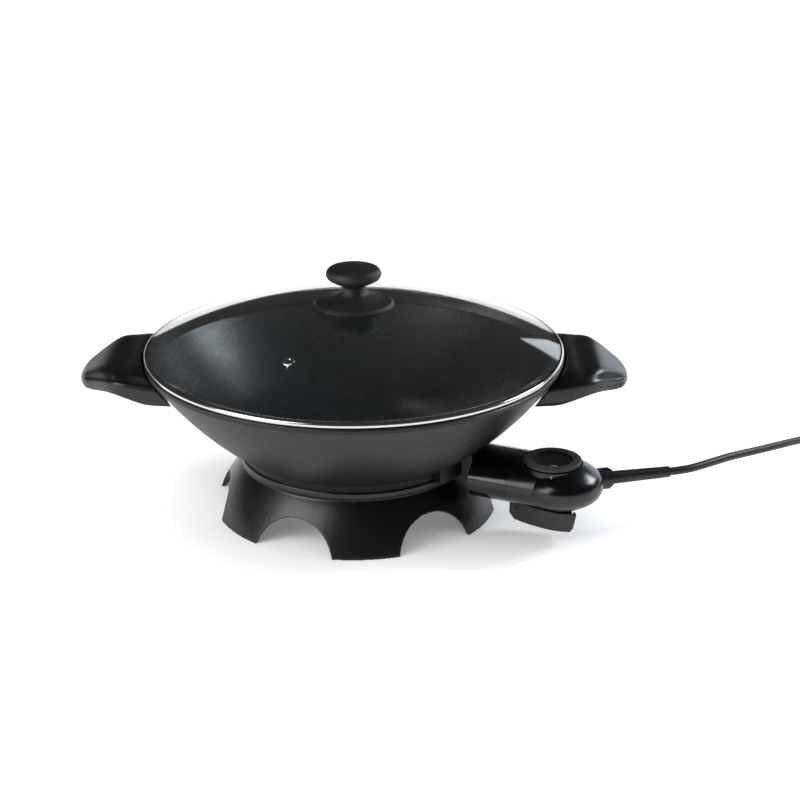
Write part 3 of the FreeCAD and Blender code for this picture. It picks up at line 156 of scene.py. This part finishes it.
# Painted contact shadow: the glow is darkened wherever ambient occlusion finds the wok close above
# the table.
painted_contact_shadow = paper.nodes.new("ShaderNodeAmbientOcclusion")
painted_contact_shadow.samples = 16
painted_contact_shadow.inputs["Distance"].default_value = shadow_reach
painted_shadow_depth = paper.nodes.new("ShaderNodeMapRange")
painted_shadow_depth.inputs["From Min"].default_value = 0.1
painted_shadow_depth.inputs["From Max"].default_value = 0.95
painted_shadow_depth.inputs["To Min"].default_value = 0.15
painted_shadow_depth.inputs["To Max"].default_value = 1.0
paper.links.new(painted_contact_shadow.outputs["AO"], painted_shadow_depth.inputs["Value"])
glow_with_painted_shadow = paper.nodes.new("ShaderNodeMath")
glow_with_painted_shadow.operation = "MULTIPLY"
paper.links.new(painted_shadow_depth.outputs[0], glow_with_painted_shadow.inputs[0])
paper.links.new(lift.outputs[0], glow_with_painted_shadow.inputs[1])
white = paper.nodes.new("ShaderNodeMath")
white.operation = "MULTIPLY"
paper.links.new(plain, white.inputs[0])
paper.links.new(glow_with_painted_shadow.outputs[0], white.inputs[1])
matt.inputs["Emission Color"].default_value = (1, 1, 1, 1)
paper.links.new(white.outputs[0], matt.inputs["Emission Strength"])
table_mesh.materials.append(table_white)


# ---------------------------------------------------------------- mains lead
# A round black rubber lead, 7 mm thick, leaves the control's strain relief, sinks to the table
# and is wound there into a flat coil in two layers, from which its end runs to the plug.
lead_thickness = 0.007
lead_exit = (0.26859, -0.0514, 0.048)
run_out = [
    (0.28411, -0.04753, 0.048), (0.3025, -0.0344, 0.0474), (0.327, -0.0136, 0.0456),
    (0.3455, 0.0034, 0.042), (0.371, 0.0296, 0.036), (0.396, 0.058, 0.029),
    (0.4165, 0.0852, 0.021), (0.4295, 0.108, 0.0125), (0.4375, 0.127, 0.0065),
    (0.4400, 0.141, 0.0036)]
run_to_plug = [(0.4965, 0.0964, 0.014), (0.487, 0.080, 0.0185), (0.4803, 0.0683, 0.0185)]
coil_middle = (0.483, 0.150)
coil_steps = 42
turn_steps = 16
first_angle = 172
lower_reach = 0.0428
lower_shrink = 0.007
lower_level = 0.0036
climb_start = 1.05
climb_end = 1.3
climb_reach = 0.0356
climb_height = 0.0072
upper_reach = 0.0350
upper_growth = 0.0072
upper_level = 0.0108


def finish(name):
    """A new finish, with its nodes, its shader and the place on the wok in metres."""
    coat = bpy.data.materials.new(name)
    coat.use_nodes = True
    tree = coat.node_tree
    place = tree.nodes.new("ShaderNodeTexCoord").outputs["Object"]
    return coat, tree, tree.nodes["Principled BSDF"], place


def clouds(tree, place, size, detail=2.0):
    """Soft random variation with patches of about this size, from 0 to 1."""
    noise = tree.nodes.new("ShaderNodeTexNoise")
    noise.inputs["Scale"].default_value = 1 / size
    noise.inputs["Detail"].default_value = detail
    tree.links.new(place, noise.inputs["Vector"])
    return noise.outputs["Fac"]


def spread(tree, value, low, high, start=0.3, end=0.7):
    """A value from one range put into another."""
    scale = tree.nodes.new("ShaderNodeMapRange")
    scale.inputs["From Min"].default_value = start
    scale.inputs["From Max"].default_value = end
    scale.inputs["To Min"].default_value = low
    scale.inputs["To Max"].default_value = high
    tree.links.new(value, scale.inputs["Value"])
    return scale.outputs[0]


def tint(tree, value, first, second):
    """A colour between two, by a value from 0 to 1."""
    mix = tree.nodes.new("ShaderNodeMix")
    mix.data_type = "RGBA"
    mix.inputs["A"].default_value = (*first, 1)
    mix.inputs["B"].default_value = (*second, 1)
    tree.links.new(value, mix.inputs["Factor"])
    return mix.outputs["Result"]


def relief(tree, shader, height, depth):
    """Small bumps of this depth on the surface."""
    bump = tree.nodes.new("ShaderNodeBump")
    bump.inputs["Distance"].default_value = depth
    tree.links.new(height, bump.inputs["Height"])
    tree.links.new(bump.outputs[0], shader.inputs["Normal"])


def moulded(name, dark, light, smooth, rough, grain, depth, patch=0.02):
    """A moulded plastic or rubber: two near colours in patches, its gloss range and its grain."""
    coat, tree, shader, place = finish(name)
    patches = clouds(tree, place, patch)
    tree.links.new(tint(tree, spread(tree, patches, 0, 1), dark, light),
                   shader.inputs["Base Color"])
    tree.links.new(spread(tree, clouds(tree, place, patch * 0.4), smooth, rough),
                   shader.inputs["Roughness"])
    relief(tree, shader, clouds(tree, place, grain, 3), depth)
    return coat


def wear(material, *names):
    """Gives a finish to pieces that come from the CAD model."""
    for name in names:
        nodes[name].material_slots[0].material = material


cord_rubber = moulded("lead_rubber", (0.005, 0.005, 0.006), (0.008, 0.008, 0.009),
                      smooth=0.45, rough=0.52, grain=0.0006, depth=0.00001)
coil_points = []
for step in range(coil_steps):
    turns = step / turn_steps
    angle = math.radians(first_angle - 360 * turns)
    if turns < climb_start:
        reach = lower_reach - lower_shrink * turns
        level = lower_level
    elif turns < climb_end:
        reach = climb_reach
        level = lower_level + climb_height * (turns - climb_start) / (climb_end - climb_start)
    else:
        reach = upper_reach + upper_growth * (turns - climb_end)
        level = upper_level
    coil_points.append((coil_middle[0] + reach * math.cos(angle),
                        coil_middle[1] + reach * math.sin(angle), level))
lead_points = [lead_exit] + run_out + coil_points + run_to_plug
lead_curve = bpy.data.curves.new("mains_lead", "CURVE")
lead_curve.dimensions = "3D"
lead_line = lead_curve.splines.new("NURBS")
lead_line.points.add(len(lead_points) - 1)
for point, place in zip(lead_line.points, lead_points):
    point.co = (*place, 1)
lead_line.order_u = 3
lead_line.use_endpoint_u = True
lead_line.resolution_u = 6
lead_curve.bevel_depth = lead_thickness / 2
lead_curve.bevel_resolution = 5
lead = bpy.data.objects.new("mains_lead", lead_curve)
bpy.context.scene.collection.objects.link(lead)
lead_curve.materials.append(cord_rubber)
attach(lead, "control")
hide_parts("cord", "cord_coil", "cord_end")
wear(cord_rubber, "cord_tail")

# ---------------------------------------------------------------- pan
# A deep pan of cast aluminium, 36 cm across the rim, with a foot ring, two handle lugs and the
# socket lug for the control. Outside it has a satin black lacquer, inside a dark non-stick coat
# with fine metallic flecks.
lacquer_dark = (0.006, 0.006, 0.0065)
lacquer_light = (0.010, 0.010, 0.011)
nonstick_dark = (0.006, 0.0072, 0.0085)
nonstick_light = (0.011, 0.013, 0.016)
fleck_colour = (0.06, 0.066, 0.075)
flecks_per_metre = 900
outside_gloss = (0.38, 0.52)
inside_gloss = (0.25, 0.34)
above_middle = (0, 0, 0.32)
pan_coat, tree, shader, place = finish("pan_coat")
facing = tree.nodes.new("ShaderNodeTexCoord")
to_middle = tree.nodes.new("ShaderNodeVectorMath")
to_middle.operation = "SUBTRACT"
to_middle.inputs[0].default_value = above_middle
tree.links.new(place, to_middle.inputs[1])
towards = tree.nodes.new("ShaderNodeVectorMath")
towards.operation = "DOT_PRODUCT"
tree.links.new(to_middle.outputs[0], towards.inputs[0])
tree.links.new(facing.outputs["Normal"], towards.inputs[1])
inside = spread(tree, towards.outputs["Value"], 0, 1, -0.002, 0.002)
outside_colour = tint(tree, spread(tree, clouds(tree, place, 0.018), 0, 1),
                      lacquer_dark, lacquer_light)
inside_colour = tint(tree, spread(tree, clouds(tree, place, 0.03), 0, 1),
                     nonstick_dark, nonstick_light)
flecks = tree.nodes.new("ShaderNodeTexVoronoi")
flecks.inputs["Scale"].default_value = flecks_per_metre
tree.links.new(place, flecks.inputs["Vector"])
fleck_here = spread(tree, flecks.outputs["Distance"], 1, 0, 0.12, 0.26)
flecked = tree.nodes.new("ShaderNodeMix")
flecked.data_type = "RGBA"
flecked.inputs["B"].default_value = (*fleck_colour, 1)
tree.links.new(inside_colour, flecked.inputs["A"])
tree.links.new(fleck_here, flecked.inputs["Factor"])
both = tree.nodes.new("ShaderNodeMix")
both.data_type = "RGBA"
tree.links.new(inside, both.inputs["Factor"])
tree.links.new(outside_colour, both.inputs["A"])
tree.links.new(flecked.outputs["Result"], both.inputs["B"])
tree.links.new(both.outputs["Result"], shader.inputs["Base Color"])
grain = clouds(tree, place, 0.0011, 3)
gloss = tree.nodes.new("ShaderNodeMix")
tree.links.new(inside, gloss.inputs["Factor"])
tree.links.new(spread(tree, grain, *outside_gloss), gloss.inputs["A"])
tree.links.new(spread(tree, grain, *inside_gloss), gloss.inputs["B"])
tree.links.new(gloss.outputs["Result"], shader.inputs["Roughness"])
shader.inputs["Specular IOR Level"].default_value = 0.42
relief(tree, shader, clouds(tree, place, 0.0012, 3), 0.00002)
wear(pan_coat, "wok_pan")

# ---------------------------------------------------------------- heating and probe parts
# Under the pan lie a tubular heating ring in a steel sheath, its ceramic beads and live pins,
# the sleeve for the temperature rod and a bright sheet that throws the heat back up.
def metal(name, colour, smooth, rough, line, scratch=0.00001, round_axis=False):
    """A metal with its gloss range and fine lines, drawn or turned about the pan's axis."""
    coat, tree, shader, place = finish(name)
    shader.inputs["Metallic"].default_value = 1
    if round_axis:
        apart = tree.nodes.new("ShaderNodeSeparateXYZ")
        tree.links.new(place, apart.inputs[0])
        flat = tree.nodes.new("ShaderNodeCombineXYZ")
        tree.links.new(apart.outputs["X"], flat.inputs["X"])
        tree.links.new(apart.outputs["Y"], flat.inputs["Y"])
        reach = tree.nodes.new("ShaderNodeVectorMath")
        reach.operation = "LENGTH"
        tree.links.new(flat.outputs[0], reach.inputs[0])
        rings = tree.nodes.new("ShaderNodeCombineXYZ")
        tree.links.new(reach.outputs["Value"], rings.inputs["X"])
        tree.links.new(apart.outputs["Z"], rings.inputs["Z"])
        lines = clouds(tree, rings.outputs[0], line, 3)
    else:
        lines = clouds(tree, place, line, 3)
    dull = tuple(part * 0.86 for part in colour)
    tree.links.new(tint(tree, spread(tree, lines, 0, 1), dull, colour),
                   shader.inputs["Base Color"])
    tree.links.new(spread(tree, clouds(tree, place, 0.012), smooth, rough),
                   shader.inputs["Roughness"])
    relief(tree, shader, lines, scratch)
    return coat


element_steel = metal("element_steel", (0.30, 0.28, 0.26), smooth=0.38, rough=0.55, line=0.0015)
pin_steel = metal("pin_steel", (0.72, 0.71, 0.69), smooth=0.18, rough=0.3, line=0.0004)
contact_brass = metal("contact_brass", (0.72, 0.55, 0.28), smooth=0.25, rough=0.4, line=0.0005)
reflector_sheet = metal("reflector_sheet", (0.62, 0.63, 0.64), smooth=0.25, rough=0.42,
                        line=0.0008, round_axis=True)
ceramic = moulded("ceramic_bead", (0.62, 0.59, 0.52), (0.70, 0.67, 0.60),
                  smooth=0.45, rough=0.6, grain=0.0005, depth=0.00004)
wear(element_steel, "heating_element", "sensor_sleeve")
wear(pin_steel, "element_pins", "temperature_rod", "plug_pins")
wear(contact_brass, "contact_sleeves", "bimetal_blade", "contact_blade", "contact_rivets",
     "plug_earth_clips")
wear(reflector_sheet, "heat_reflector", "thermostat_frame")
wear(ceramic, "pin_beads", "insulator_stack", "terminal_block")

# ---------------------------------------------------------------- screws
# Zinc-plated screws hold the base to the pan and the knob to the lid. Those in the handles and
# the control are blackened.
screw_steel = metal("screw_steel", (0.58, 0.57, 0.54), smooth=0.28, rough=0.42, line=0.0004)
black_screw = metal("black_screw", (0.03, 0.03, 0.03), smooth=0.35, rough=0.5, line=0.0004)
wear(screw_steel, "base_screws", "knob_screw", "knob_washer", "dial_spindle", "lever_spring")
wear(black_screw, "handle_screws", "handle_washers", "housing_screws", "lever_pin")


# ---------------------------------------------------------------- base
# The base is one moulding of satin black heat-proof plastic: a flared skirt cut by six arches,
# so that it stands on six legs. Three screws hold it to the pan.
def eased(name, node, grid, passes, body, material):
    """The CAD piece with its edges eased, as a mould leaves them."""
    piece = bpy.data.objects.new(name, nodes[node].data.copy())
    bpy.context.scene.collection.objects.link(piece)
    even = piece.modifiers.new("even", "REMESH")
    even.mode = "VOXEL"
    even.voxel_size = grid
    soft = piece.modifiers.new("soft", "SMOOTH")
    soft.factor = 0.5
    soft.iterations = passes
    graph = bpy.context.evaluated_depsgraph_get()
    shape = bpy.data.meshes.new_from_object(piece.evaluated_get(graph))
    piece.modifiers.clear()
    piece.data = shape
    shape.materials.clear()
    shape.materials.append(material)
    for face in shape.polygons:
        face.use_smooth = True
        face.material_index = 0
    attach(piece, body)
    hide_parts(node)


base_black = moulded("base_black", (0.004, 0.004, 0.004), (0.006, 0.006, 0.006),
                     smooth=0.3, rough=0.34, grain=0.0005, depth=0.000008, patch=0.06)
eased("base", "base_skirt", grid=0.0009, passes=5, body="wok", material=base_black)

# ---------------------------------------------------------------- side handles
# Each handle is a hollow moulding of satin black phenolic. Its top has a shallow valley for the
# thumb and falls to a blunt nose, its lower edge is arched for the fingers, and two bosses take
# the screws that hold it to the pan's lugs.
handle_start = 0.142
handle_end = 0.2355
handle_wall = 0.0042
handle_edge = 0.003
nose_length = 0.008
nose_end = 0.2
half_ease = 0.007
crest_ease = 0.004
grown_side = 0.0012
grown_top = 0.0007
grown_under = 0.0005
least_half = 0.0012
least_side = 0.002
least_crown = 0.0003
handle_steps = 60
handle_grid = 0.0007
handle_passes = 14
half_line = [
    (0.150, 0.0632), (0.190, 0.0602), (0.198, 0.0588), (0.203, 0.0558), (0.207, 0.0515),
    (0.212, 0.0448), (0.218, 0.0378), (0.2235, 0.0316), (0.2285, 0.0262), (0.232, 0.0225),
    (0.2343, 0.0200), (0.2355, 0.0190)]
crest_line = [
    (0.150, 0.1380), (0.187, 0.1380), (0.190, 0.1370), (0.193, 0.1363), (0.196, 0.1367),
    (0.200, 0.1376), (0.204, 0.1381), (0.207, 0.1378), (0.212, 0.1361), (0.218, 0.1328),
    (0.224, 0.1290), (0.2285, 0.1260), (0.232, 0.1242), (0.2355, 0.1235)]
ridge_line = [
    (0.150, 0.1270), (0.181, 0.1305), (0.192, 0.1325), (0.202, 0.1325), (0.215, 0.1278),
    (0.228, 0.1232), (0.2355, 0.1222)]
under_line = [
    (0.150, 0.1118), (0.173, 0.1125), (0.184, 0.1161), (0.190, 0.1183), (0.198, 0.1209),
    (0.204, 0.1212), (0.212, 0.1192), (0.218, 0.1168), (0.224, 0.1152), (0.230, 0.1148),
    (0.2355, 0.1148)]
screw_places = (0.035, -0.035)
lug_reaches = (0.140, 0.1965)
lug_half = 0.0073
lug_under = 0.1197
lug_top = 0.1263
boss_reach = 0.188
boss_bore = 0.0026
boss_radius = 0.0055
boss_under = 0.1261
boss_top = 0.1345
pan_core = 0.05
pan_line = [
    (0.1436, 0.090), (0.1532, 0.100), (0.1635, 0.112), (0.1697, 0.120), (0.1770, 0.130),
    (0.1818, 0.136), (0.1822, 0.150)]
handle_black = moulded("handle_black", (0.004, 0.004, 0.0042), (0.0065, 0.0065, 0.007),
                       smooth=0.32, rough=0.38, grain=0.0006, depth=0.00001, patch=0.05)


def between(value, line):
    """The level of a broken line at a place."""
    if value <= line[0][0]:
        return line[0][1]
    for (start, low), (end, high) in zip(line, line[1:]):
        if value <= end:
            return low + (value - start) / (end - start) * (high - low)
    return line[-1][1]


def soft(value, line, reach=0.005):
    """The same line with its corners eased."""
    return sum(between(value + reach * part / 6, line) for part in range(-6, 7)) / 13


def tube(name, loops):
    """A closed shape through a row of loops with as many points each."""
    shape = bpy.data.meshes.new(name)
    build = bmesh.new()
    rows = [[build.verts.new(point) for point in loop] for loop in loops]
    for first, second in zip(rows, rows[1:]):
        for here in range(len(first)):
            after = (here + 1) % len(first)
            build.faces.new((first[here], first[after], second[after], second[here]))
    build.faces.new(rows[0])
    build.faces.new(rows[-1][::-1])
    bmesh.ops.recalc_face_normals(build, faces=build.faces)
    build.to_mesh(shape)
    build.free()
    thing = bpy.data.objects.new(name, shape)
    bpy.context.scene.collection.objects.link(thing)
    return thing


def handle_body(name, side, wall):
    """A handle's outside, or with a wall its hollow, grown by what the smoothing takes off."""
    start = handle_start - wall
    end = handle_end - wall
    loops = []
    for step in range(handle_steps + 1):
        reach = start + (end - start) * math.sin(math.radians(90) * step / handle_steps)
        half = soft(reach + wall * 0.6, half_line, half_ease) + grown_side - wall
        half = max(half, least_half)
        crest = soft(reach + wall * 0.5, crest_line, crest_ease) + grown_top - wall
        ridge = min(soft(reach + wall * 0.5, ridge_line) - wall, crest - least_crown)
        under = soft(reach, under_line) - grown_under - wall * 2
        ridge = max(ridge, under + least_side)
        crest = max(crest, ridge + least_crown)
        past = max(0, (reach - end + nose_length) / nose_length)
        full = nose_end + (1 - nose_end) * math.sqrt(max(0, 1 - past * past))
        middle = (ridge + under) / 2
        half *= full
        crest, ridge, under = (middle + (level - middle) * full
                               for level in (crest, ridge, under))
        tall = ridge - under
        edge = min(handle_edge, half * 0.4)
        flank = [(half - edge * 0.55, under),
                 (half - edge * 0.12, under + tall * 0.2),
                 (half, under + tall * 0.5),
                 (half - edge * 0.1, under + tall * 0.78),
                 (half - edge * 0.4, under + tall * 0.95)]
        loop = list(flank)
        for part in range(25):
            across = 1 - part / 12
            loop.append(((half - edge) * across,
                         ridge + (crest - ridge) * (1 - abs(across) ** 12)))
        loop += [(-y, z) for y, z in reversed(flank)]
        loops.append([(side * reach, y, z) for y, z in loop])
    return tube(name, loops)


def turned(name, profile, place=(0, 0), steps=160):
    """A closed shape turned about an upright axis from a closed outline of radius and level."""
    shape = bpy.data.meshes.new(name)
    build = bmesh.new()
    rows = []
    for step in range(steps):
        angle = 2 * math.pi * step / steps
        rows.append([build.verts.new((place[0] + reach * math.cos(angle),
                                      place[1] + reach * math.sin(angle), level))
                     for reach, level in profile])
    for here in range(steps):
        first = rows[here]
        second = rows[(here + 1) % steps]
        for point in range(len(profile)):
            after = (point + 1) % len(profile)
            build.faces.new((first[point], first[after], second[after], second[point]))
    bmesh.ops.recalc_face_normals(build, faces=build.faces)
    build.to_mesh(shape)
    build.free()
    thing = bpy.data.objects.new(name, shape)
    bpy.context.scene.collection.objects.link(thing)
    return thing


def shaped(piece, steps):
    """Works the modifiers into the mesh of a piece."""
    for kind, settings in steps:
        change = piece.modifiers.new(kind, kind)
        for key, value in settings.items():
            setattr(change, key, value)
    graph = bpy.context.evaluated_depsgraph_get()
    shape = bpy.data.meshes.new_from_object(piece.evaluated_get(graph))
    piece.modifiers.clear()
    piece.data = shape
    for face in shape.polygons:
        face.use_smooth = True


pan_under = pan_line[0][1]
pan_over = pan_line[-1][1]
for hand, side in (("right", 1), ("left", -1)):
    body = handle_body("side_handle_" + hand, side, 0)
    hollow = handle_body("hollow", side, handle_wall)
    pan_space = turned("pan_space",
                       [(pan_core, pan_under)] + pan_line + [(pan_core, pan_over)])
    root_wall = turned("root_wall",
                       [(pan_core, pan_under)]
                       + [(reach + handle_wall, level) for reach, level in pan_line]
                       + [(pan_core, pan_over)])
    shaped(hollow, [("BOOLEAN", {"operation": "DIFFERENCE", "object": root_wall})])
    lug_slots = []
    bosses = []
    for y in screw_places:
        lug_slots.append(tube("lug_slot", [[(side * reach, y + lug_half, lug_under),
                                            (side * reach, y + lug_half, lug_top),
                                            (side * reach, y - lug_half, lug_top),
                                            (side * reach, y - lug_half, lug_under)]
                                           for reach in lug_reaches]))
        bosses.append(turned("boss", [(boss_bore, boss_under), (boss_radius, boss_under),
                                      (boss_radius, boss_top), (boss_bore, boss_top)],
                             (side * boss_reach, y), 24))
    shaped(body, [("BOOLEAN", {"operation": "DIFFERENCE", "object": tool})
                  for tool in [hollow, pan_space] + lug_slots])
    for boss in bosses:
        shaped(body, [("BOOLEAN", {"operation": "UNION", "object": boss})])
    shaped(body, [("REMESH", {"mode": "VOXEL", "voxel_size": handle_grid}),
                  ("SMOOTH", {"factor": 0.5, "iterations": handle_passes})])
    body.data.materials.clear()
    body.data.materials.append(handle_black)
    for tool in [hollow, pan_space, root_wall] + lug_slots + bosses:
        bpy.data.objects.remove(tool)
    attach(body, "wok")
    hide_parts("handle_" + hand)

# ---------------------------------------------------------------- lid
# A dome of 4 mm tempered glass sits in a rolled band of polished steel. The band's bead lies on
# the pan's rim and its skirt drops inside it. A steel eyelet lets the steam out.
glass_dark = (0.91, 0.93, 0.92)
glass_light = (0.93, 0.95, 0.94)
glass_shadow = (0.9, 0.92, 0.91, 1)
bead_middle = (0.1776, 0.1418)
bead_radius = 0.0024
band_skirt = [(0.1685, 0.130), (0.1703, 0.130), (0.1703, 0.1312), (0.1699, 0.1319),
              (0.1693, 0.1324), (0.1693, 0.1394)]
glass_seat = [(0.1774, 0.1442), (0.1774, 0.1435), (0.1784, 0.1434), (0.1784, 0.1402),
              (0.1685, 0.1402)]
lid_glass, tree, shader, place = finish("lid_glass")
shader.inputs["Transmission Weight"].default_value = 1
shader.inputs["IOR"].default_value = 1.5
tree.links.new(tint(tree, spread(tree, clouds(tree, place, 0.05), 0, 1), glass_dark, glass_light),
               shader.inputs["Base Color"])
tree.links.new(spread(tree, clouds(tree, place, 0.02), 0, 0.012, 0.4, 0.7),
               shader.inputs["Roughness"])
clear = tree.nodes.new("ShaderNodeBsdfTransparent")
clear.inputs["Color"].default_value = glass_shadow
rays = tree.nodes.new("ShaderNodeLightPath")
mix = tree.nodes.new("ShaderNodeMixShader")
tree.links.new(rays.outputs["Is Shadow Ray"], mix.inputs["Fac"])
tree.links.new(shader.outputs[0], mix.inputs[1])
tree.links.new(clear.outputs[0], mix.inputs[2])
tree.links.new(mix.outputs[0], tree.nodes["Material Output"].inputs["Surface"])
wear(lid_glass, "lid_glass")
band_steel = metal("band_steel", (0.66, 0.655, 0.64), smooth=0.11, rough=0.16, line=0.0006,
                   scratch=0.0000005, round_axis=True)
eyelet_steel = metal("eyelet_steel", (0.75, 0.74, 0.72), smooth=0.1, rough=0.2, line=0.0004)
bead = []
for step in range(18):
    angle = math.radians(-80 + 10 * step)
    bead.append((bead_middle[0] + bead_radius * math.cos(angle),
                 bead_middle[1] + bead_radius * math.sin(angle)))
band = turned("lid_band_bead", band_skirt + bead + glass_seat, steps=256)
band.data.materials.append(band_steel)
for face in band.data.polygons:
    face.use_smooth = True
band.data.set_sharp_from_angle(angle=math.radians(35))
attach(band, "lid")
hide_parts("lid_band")
wear(eyelet_steel, "vent_eyelet")

# ---------------------------------------------------------------- knob
# A matt black round knob with a wide round foot stands on a rubber ring on the glass.
# One screw from under the lid holds it.
knob_black = moulded("knob_black", (0.010, 0.010, 0.010), (0.017, 0.017, 0.017),
                     smooth=0.5, rough=0.62, grain=0.0005, depth=0.00003)
seal_rubber = moulded("seal_rubber", (0.012, 0.012, 0.012), (0.02, 0.02, 0.02),
                      smooth=0.6, rough=0.75, grain=0.0005, depth=0.00003)
wear(knob_black, "lid_knob", "knob_skirt")
wear(seal_rubber, "knob_seal")

# ---------------------------------------------------------------- control
# The plug-in control has a glossy black hood over its pins and a rounded housing in two halves,
# both of heat-proof plastic, with a pilot lamp in the wall under the dial.
hood_black = moulded("hood_black", (0.0025, 0.0025, 0.003), (0.004, 0.004, 0.0045),
                     smooth=0.1, rough=0.17, grain=0.0012, depth=0.000006, patch=0.04)
housing_black = moulded("housing_black", (0.003, 0.003, 0.0035), (0.0045, 0.0045, 0.005),
                        smooth=0.22, rough=0.26, grain=0.0005, depth=0.000005, patch=0.05)
wear(hood_black, "hood_upper", "hood_lower")
wear(housing_black, "housing_upper", "housing_lower")
lens_clear = moulded("lens_clear", (0.35, 0.34, 0.33), (0.5, 0.49, 0.47),
                     smooth=0.1, rough=0.2, grain=0.0005, depth=0.00001)
lamp_glass = moulded("lamp_glass", (0.30, 0.07, 0.04), (0.40, 0.10, 0.06),
                     smooth=0.08, rough=0.16, grain=0.0005, depth=0.00001)
wear(lens_clear, "lamp_lens")
wear(lamp_glass, "pilot_lamp")
collar_black = moulded("collar_black", (0.008, 0.008, 0.009), (0.013, 0.013, 0.014),
                       smooth=0.35, rough=0.5, grain=0.0005, depth=0.00002)
wear(collar_black, "cord_collar", "cord_clamp")
wear(cord_rubber, "strain_relief")

# ---------------------------------------------------------------- release lever
# A flat grey-black paddle under the control, hinged on a pin, which is pressed to let go of the
# socket. It is a thin moulded tray.
lever_grey = moulded("lever_grey", (0.026, 0.025, 0.026), (0.036, 0.035, 0.036),
                     smooth=0.5, rough=0.6, grain=0.0005, depth=0.00002)
eased("lever", "release_lever", grid=0.0004, passes=6, body="lever", material=lever_grey)

# ---------------------------------------------------------------- dial
# The dial is a soft grey ring around a black cap, turned on a steel spindle. A wedge and the
# figures 0 to 5 are printed on the ring, and a white mark on the cap shows the setting.
dial_x = 0.16689
dial_y = -0.07676
ring_top = 0.0712
cap_top = 0.070
print_thickness = 0.00006
print_sink = 0.00002
dial_start = -92
dial_sweep = 270
wedge_reach = 0.0192
wedge_thin = 0.0002
wedge_growth = 0.0016
wedge_steps = 60
figure_reach = 0.0220
figure_size = 0.0038
last_figure = 5
mark_near = 0.0125
mark_far = 0.0137
mark_half = 0.0026
dial_grey = moulded("dial_grey", (0.045, 0.052, 0.047), (0.06, 0.068, 0.062),
                    smooth=0.5, rough=0.62, grain=0.0005, depth=0.00002)
dial_black = moulded("dial_black", (0.004, 0.004, 0.004), (0.007, 0.007, 0.007),
                     smooth=0.25, rough=0.35, grain=0.0005, depth=0.00001)
mark_white = moulded("mark_white", (0.6, 0.6, 0.58), (0.7, 0.7, 0.68),
                     smooth=0.4, rough=0.5, grain=0.0005, depth=0.00001)
wear(dial_grey, "dial_ring")
wear(dial_black, "dial_cap")


def printed(name, outline, level, material):
    """A thin printed shape on the dial."""
    shape = bpy.data.meshes.new(name)
    build = bmesh.new()
    below = [build.verts.new((x, y, level - print_sink)) for x, y in outline]
    above = [build.verts.new((x, y, level + print_thickness)) for x, y in outline]
    build.faces.new(above)
    build.faces.new(below[::-1])
    for here in range(len(outline)):
        after = (here + 1) % len(outline)
        build.faces.new((below[here], below[after], above[after], above[here]))
    build.to_mesh(shape)
    build.free()
    shape.materials.append(material)
    piece = bpy.data.objects.new(name, shape)
    bpy.context.scene.collection.objects.link(piece)
    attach(piece, "dial")


outer_line = []
inner_line = []
for step in range(wedge_steps + 1):
    part = step / wedge_steps
    angle = math.radians(dial_start + dial_sweep * part)
    wide = wedge_thin + wedge_growth * part
    for line, reach in ((outer_line, wedge_reach + wide / 2), (inner_line, wedge_reach - wide / 2)):
        line.append((dial_x + reach * math.cos(angle), dial_y + reach * math.sin(angle)))
printed("dial_wedge", outer_line + inner_line[::-1], ring_top, dial_black)
for number in range(last_figure + 1):
    figure = bpy.data.curves.new("figure_%d" % number, "FONT")
    figure.body = str(number)
    figure.size = figure_size
    figure.align_x = "CENTER"
    figure.align_y = "CENTER"
    figure.extrude = print_thickness
    thing = bpy.data.objects.new("dial_figure_%d" % number, figure)
    angle = math.radians(dial_start + dial_sweep * number / last_figure)
    thing.location = (dial_x + figure_reach * math.cos(angle),
                      dial_y + figure_reach * math.sin(angle), ring_top)
    thing.rotation_euler = (0, 0, angle + math.radians(90))
    bpy.context.scene.collection.objects.link(thing)
    figure.materials.append(dial_black)
    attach(thing, "dial")
mark_angle = math.radians(dial_start)
across = Vector((-math.sin(mark_angle), math.cos(mark_angle)))
along = Vector((math.cos(mark_angle), math.sin(mark_angle)))
dial_middle = Vector((dial_x, dial_y))
corners = [dial_middle + along * reach + across * side for reach, side in
           ((mark_near, -mark_half), (mark_far, -mark_half),
            (mark_far, mark_half), (mark_near, mark_half))]
printed("dial_mark", [tuple(corner) for corner in corners], cap_top, mark_white)

# ---------------------------------------------------------------- plug
# The lead ends in an earthed plug of black rubber with two round nickelled pins. A strip of
# hook-and-loop tape holds the coil together.
plug_rubber = moulded("plug_rubber", (0.009, 0.009, 0.010), (0.015, 0.015, 0.016),
                      smooth=0.42, rough=0.55, grain=0.0006, depth=0.00003)
wear(plug_rubber, "plug_body", "cord_tie")
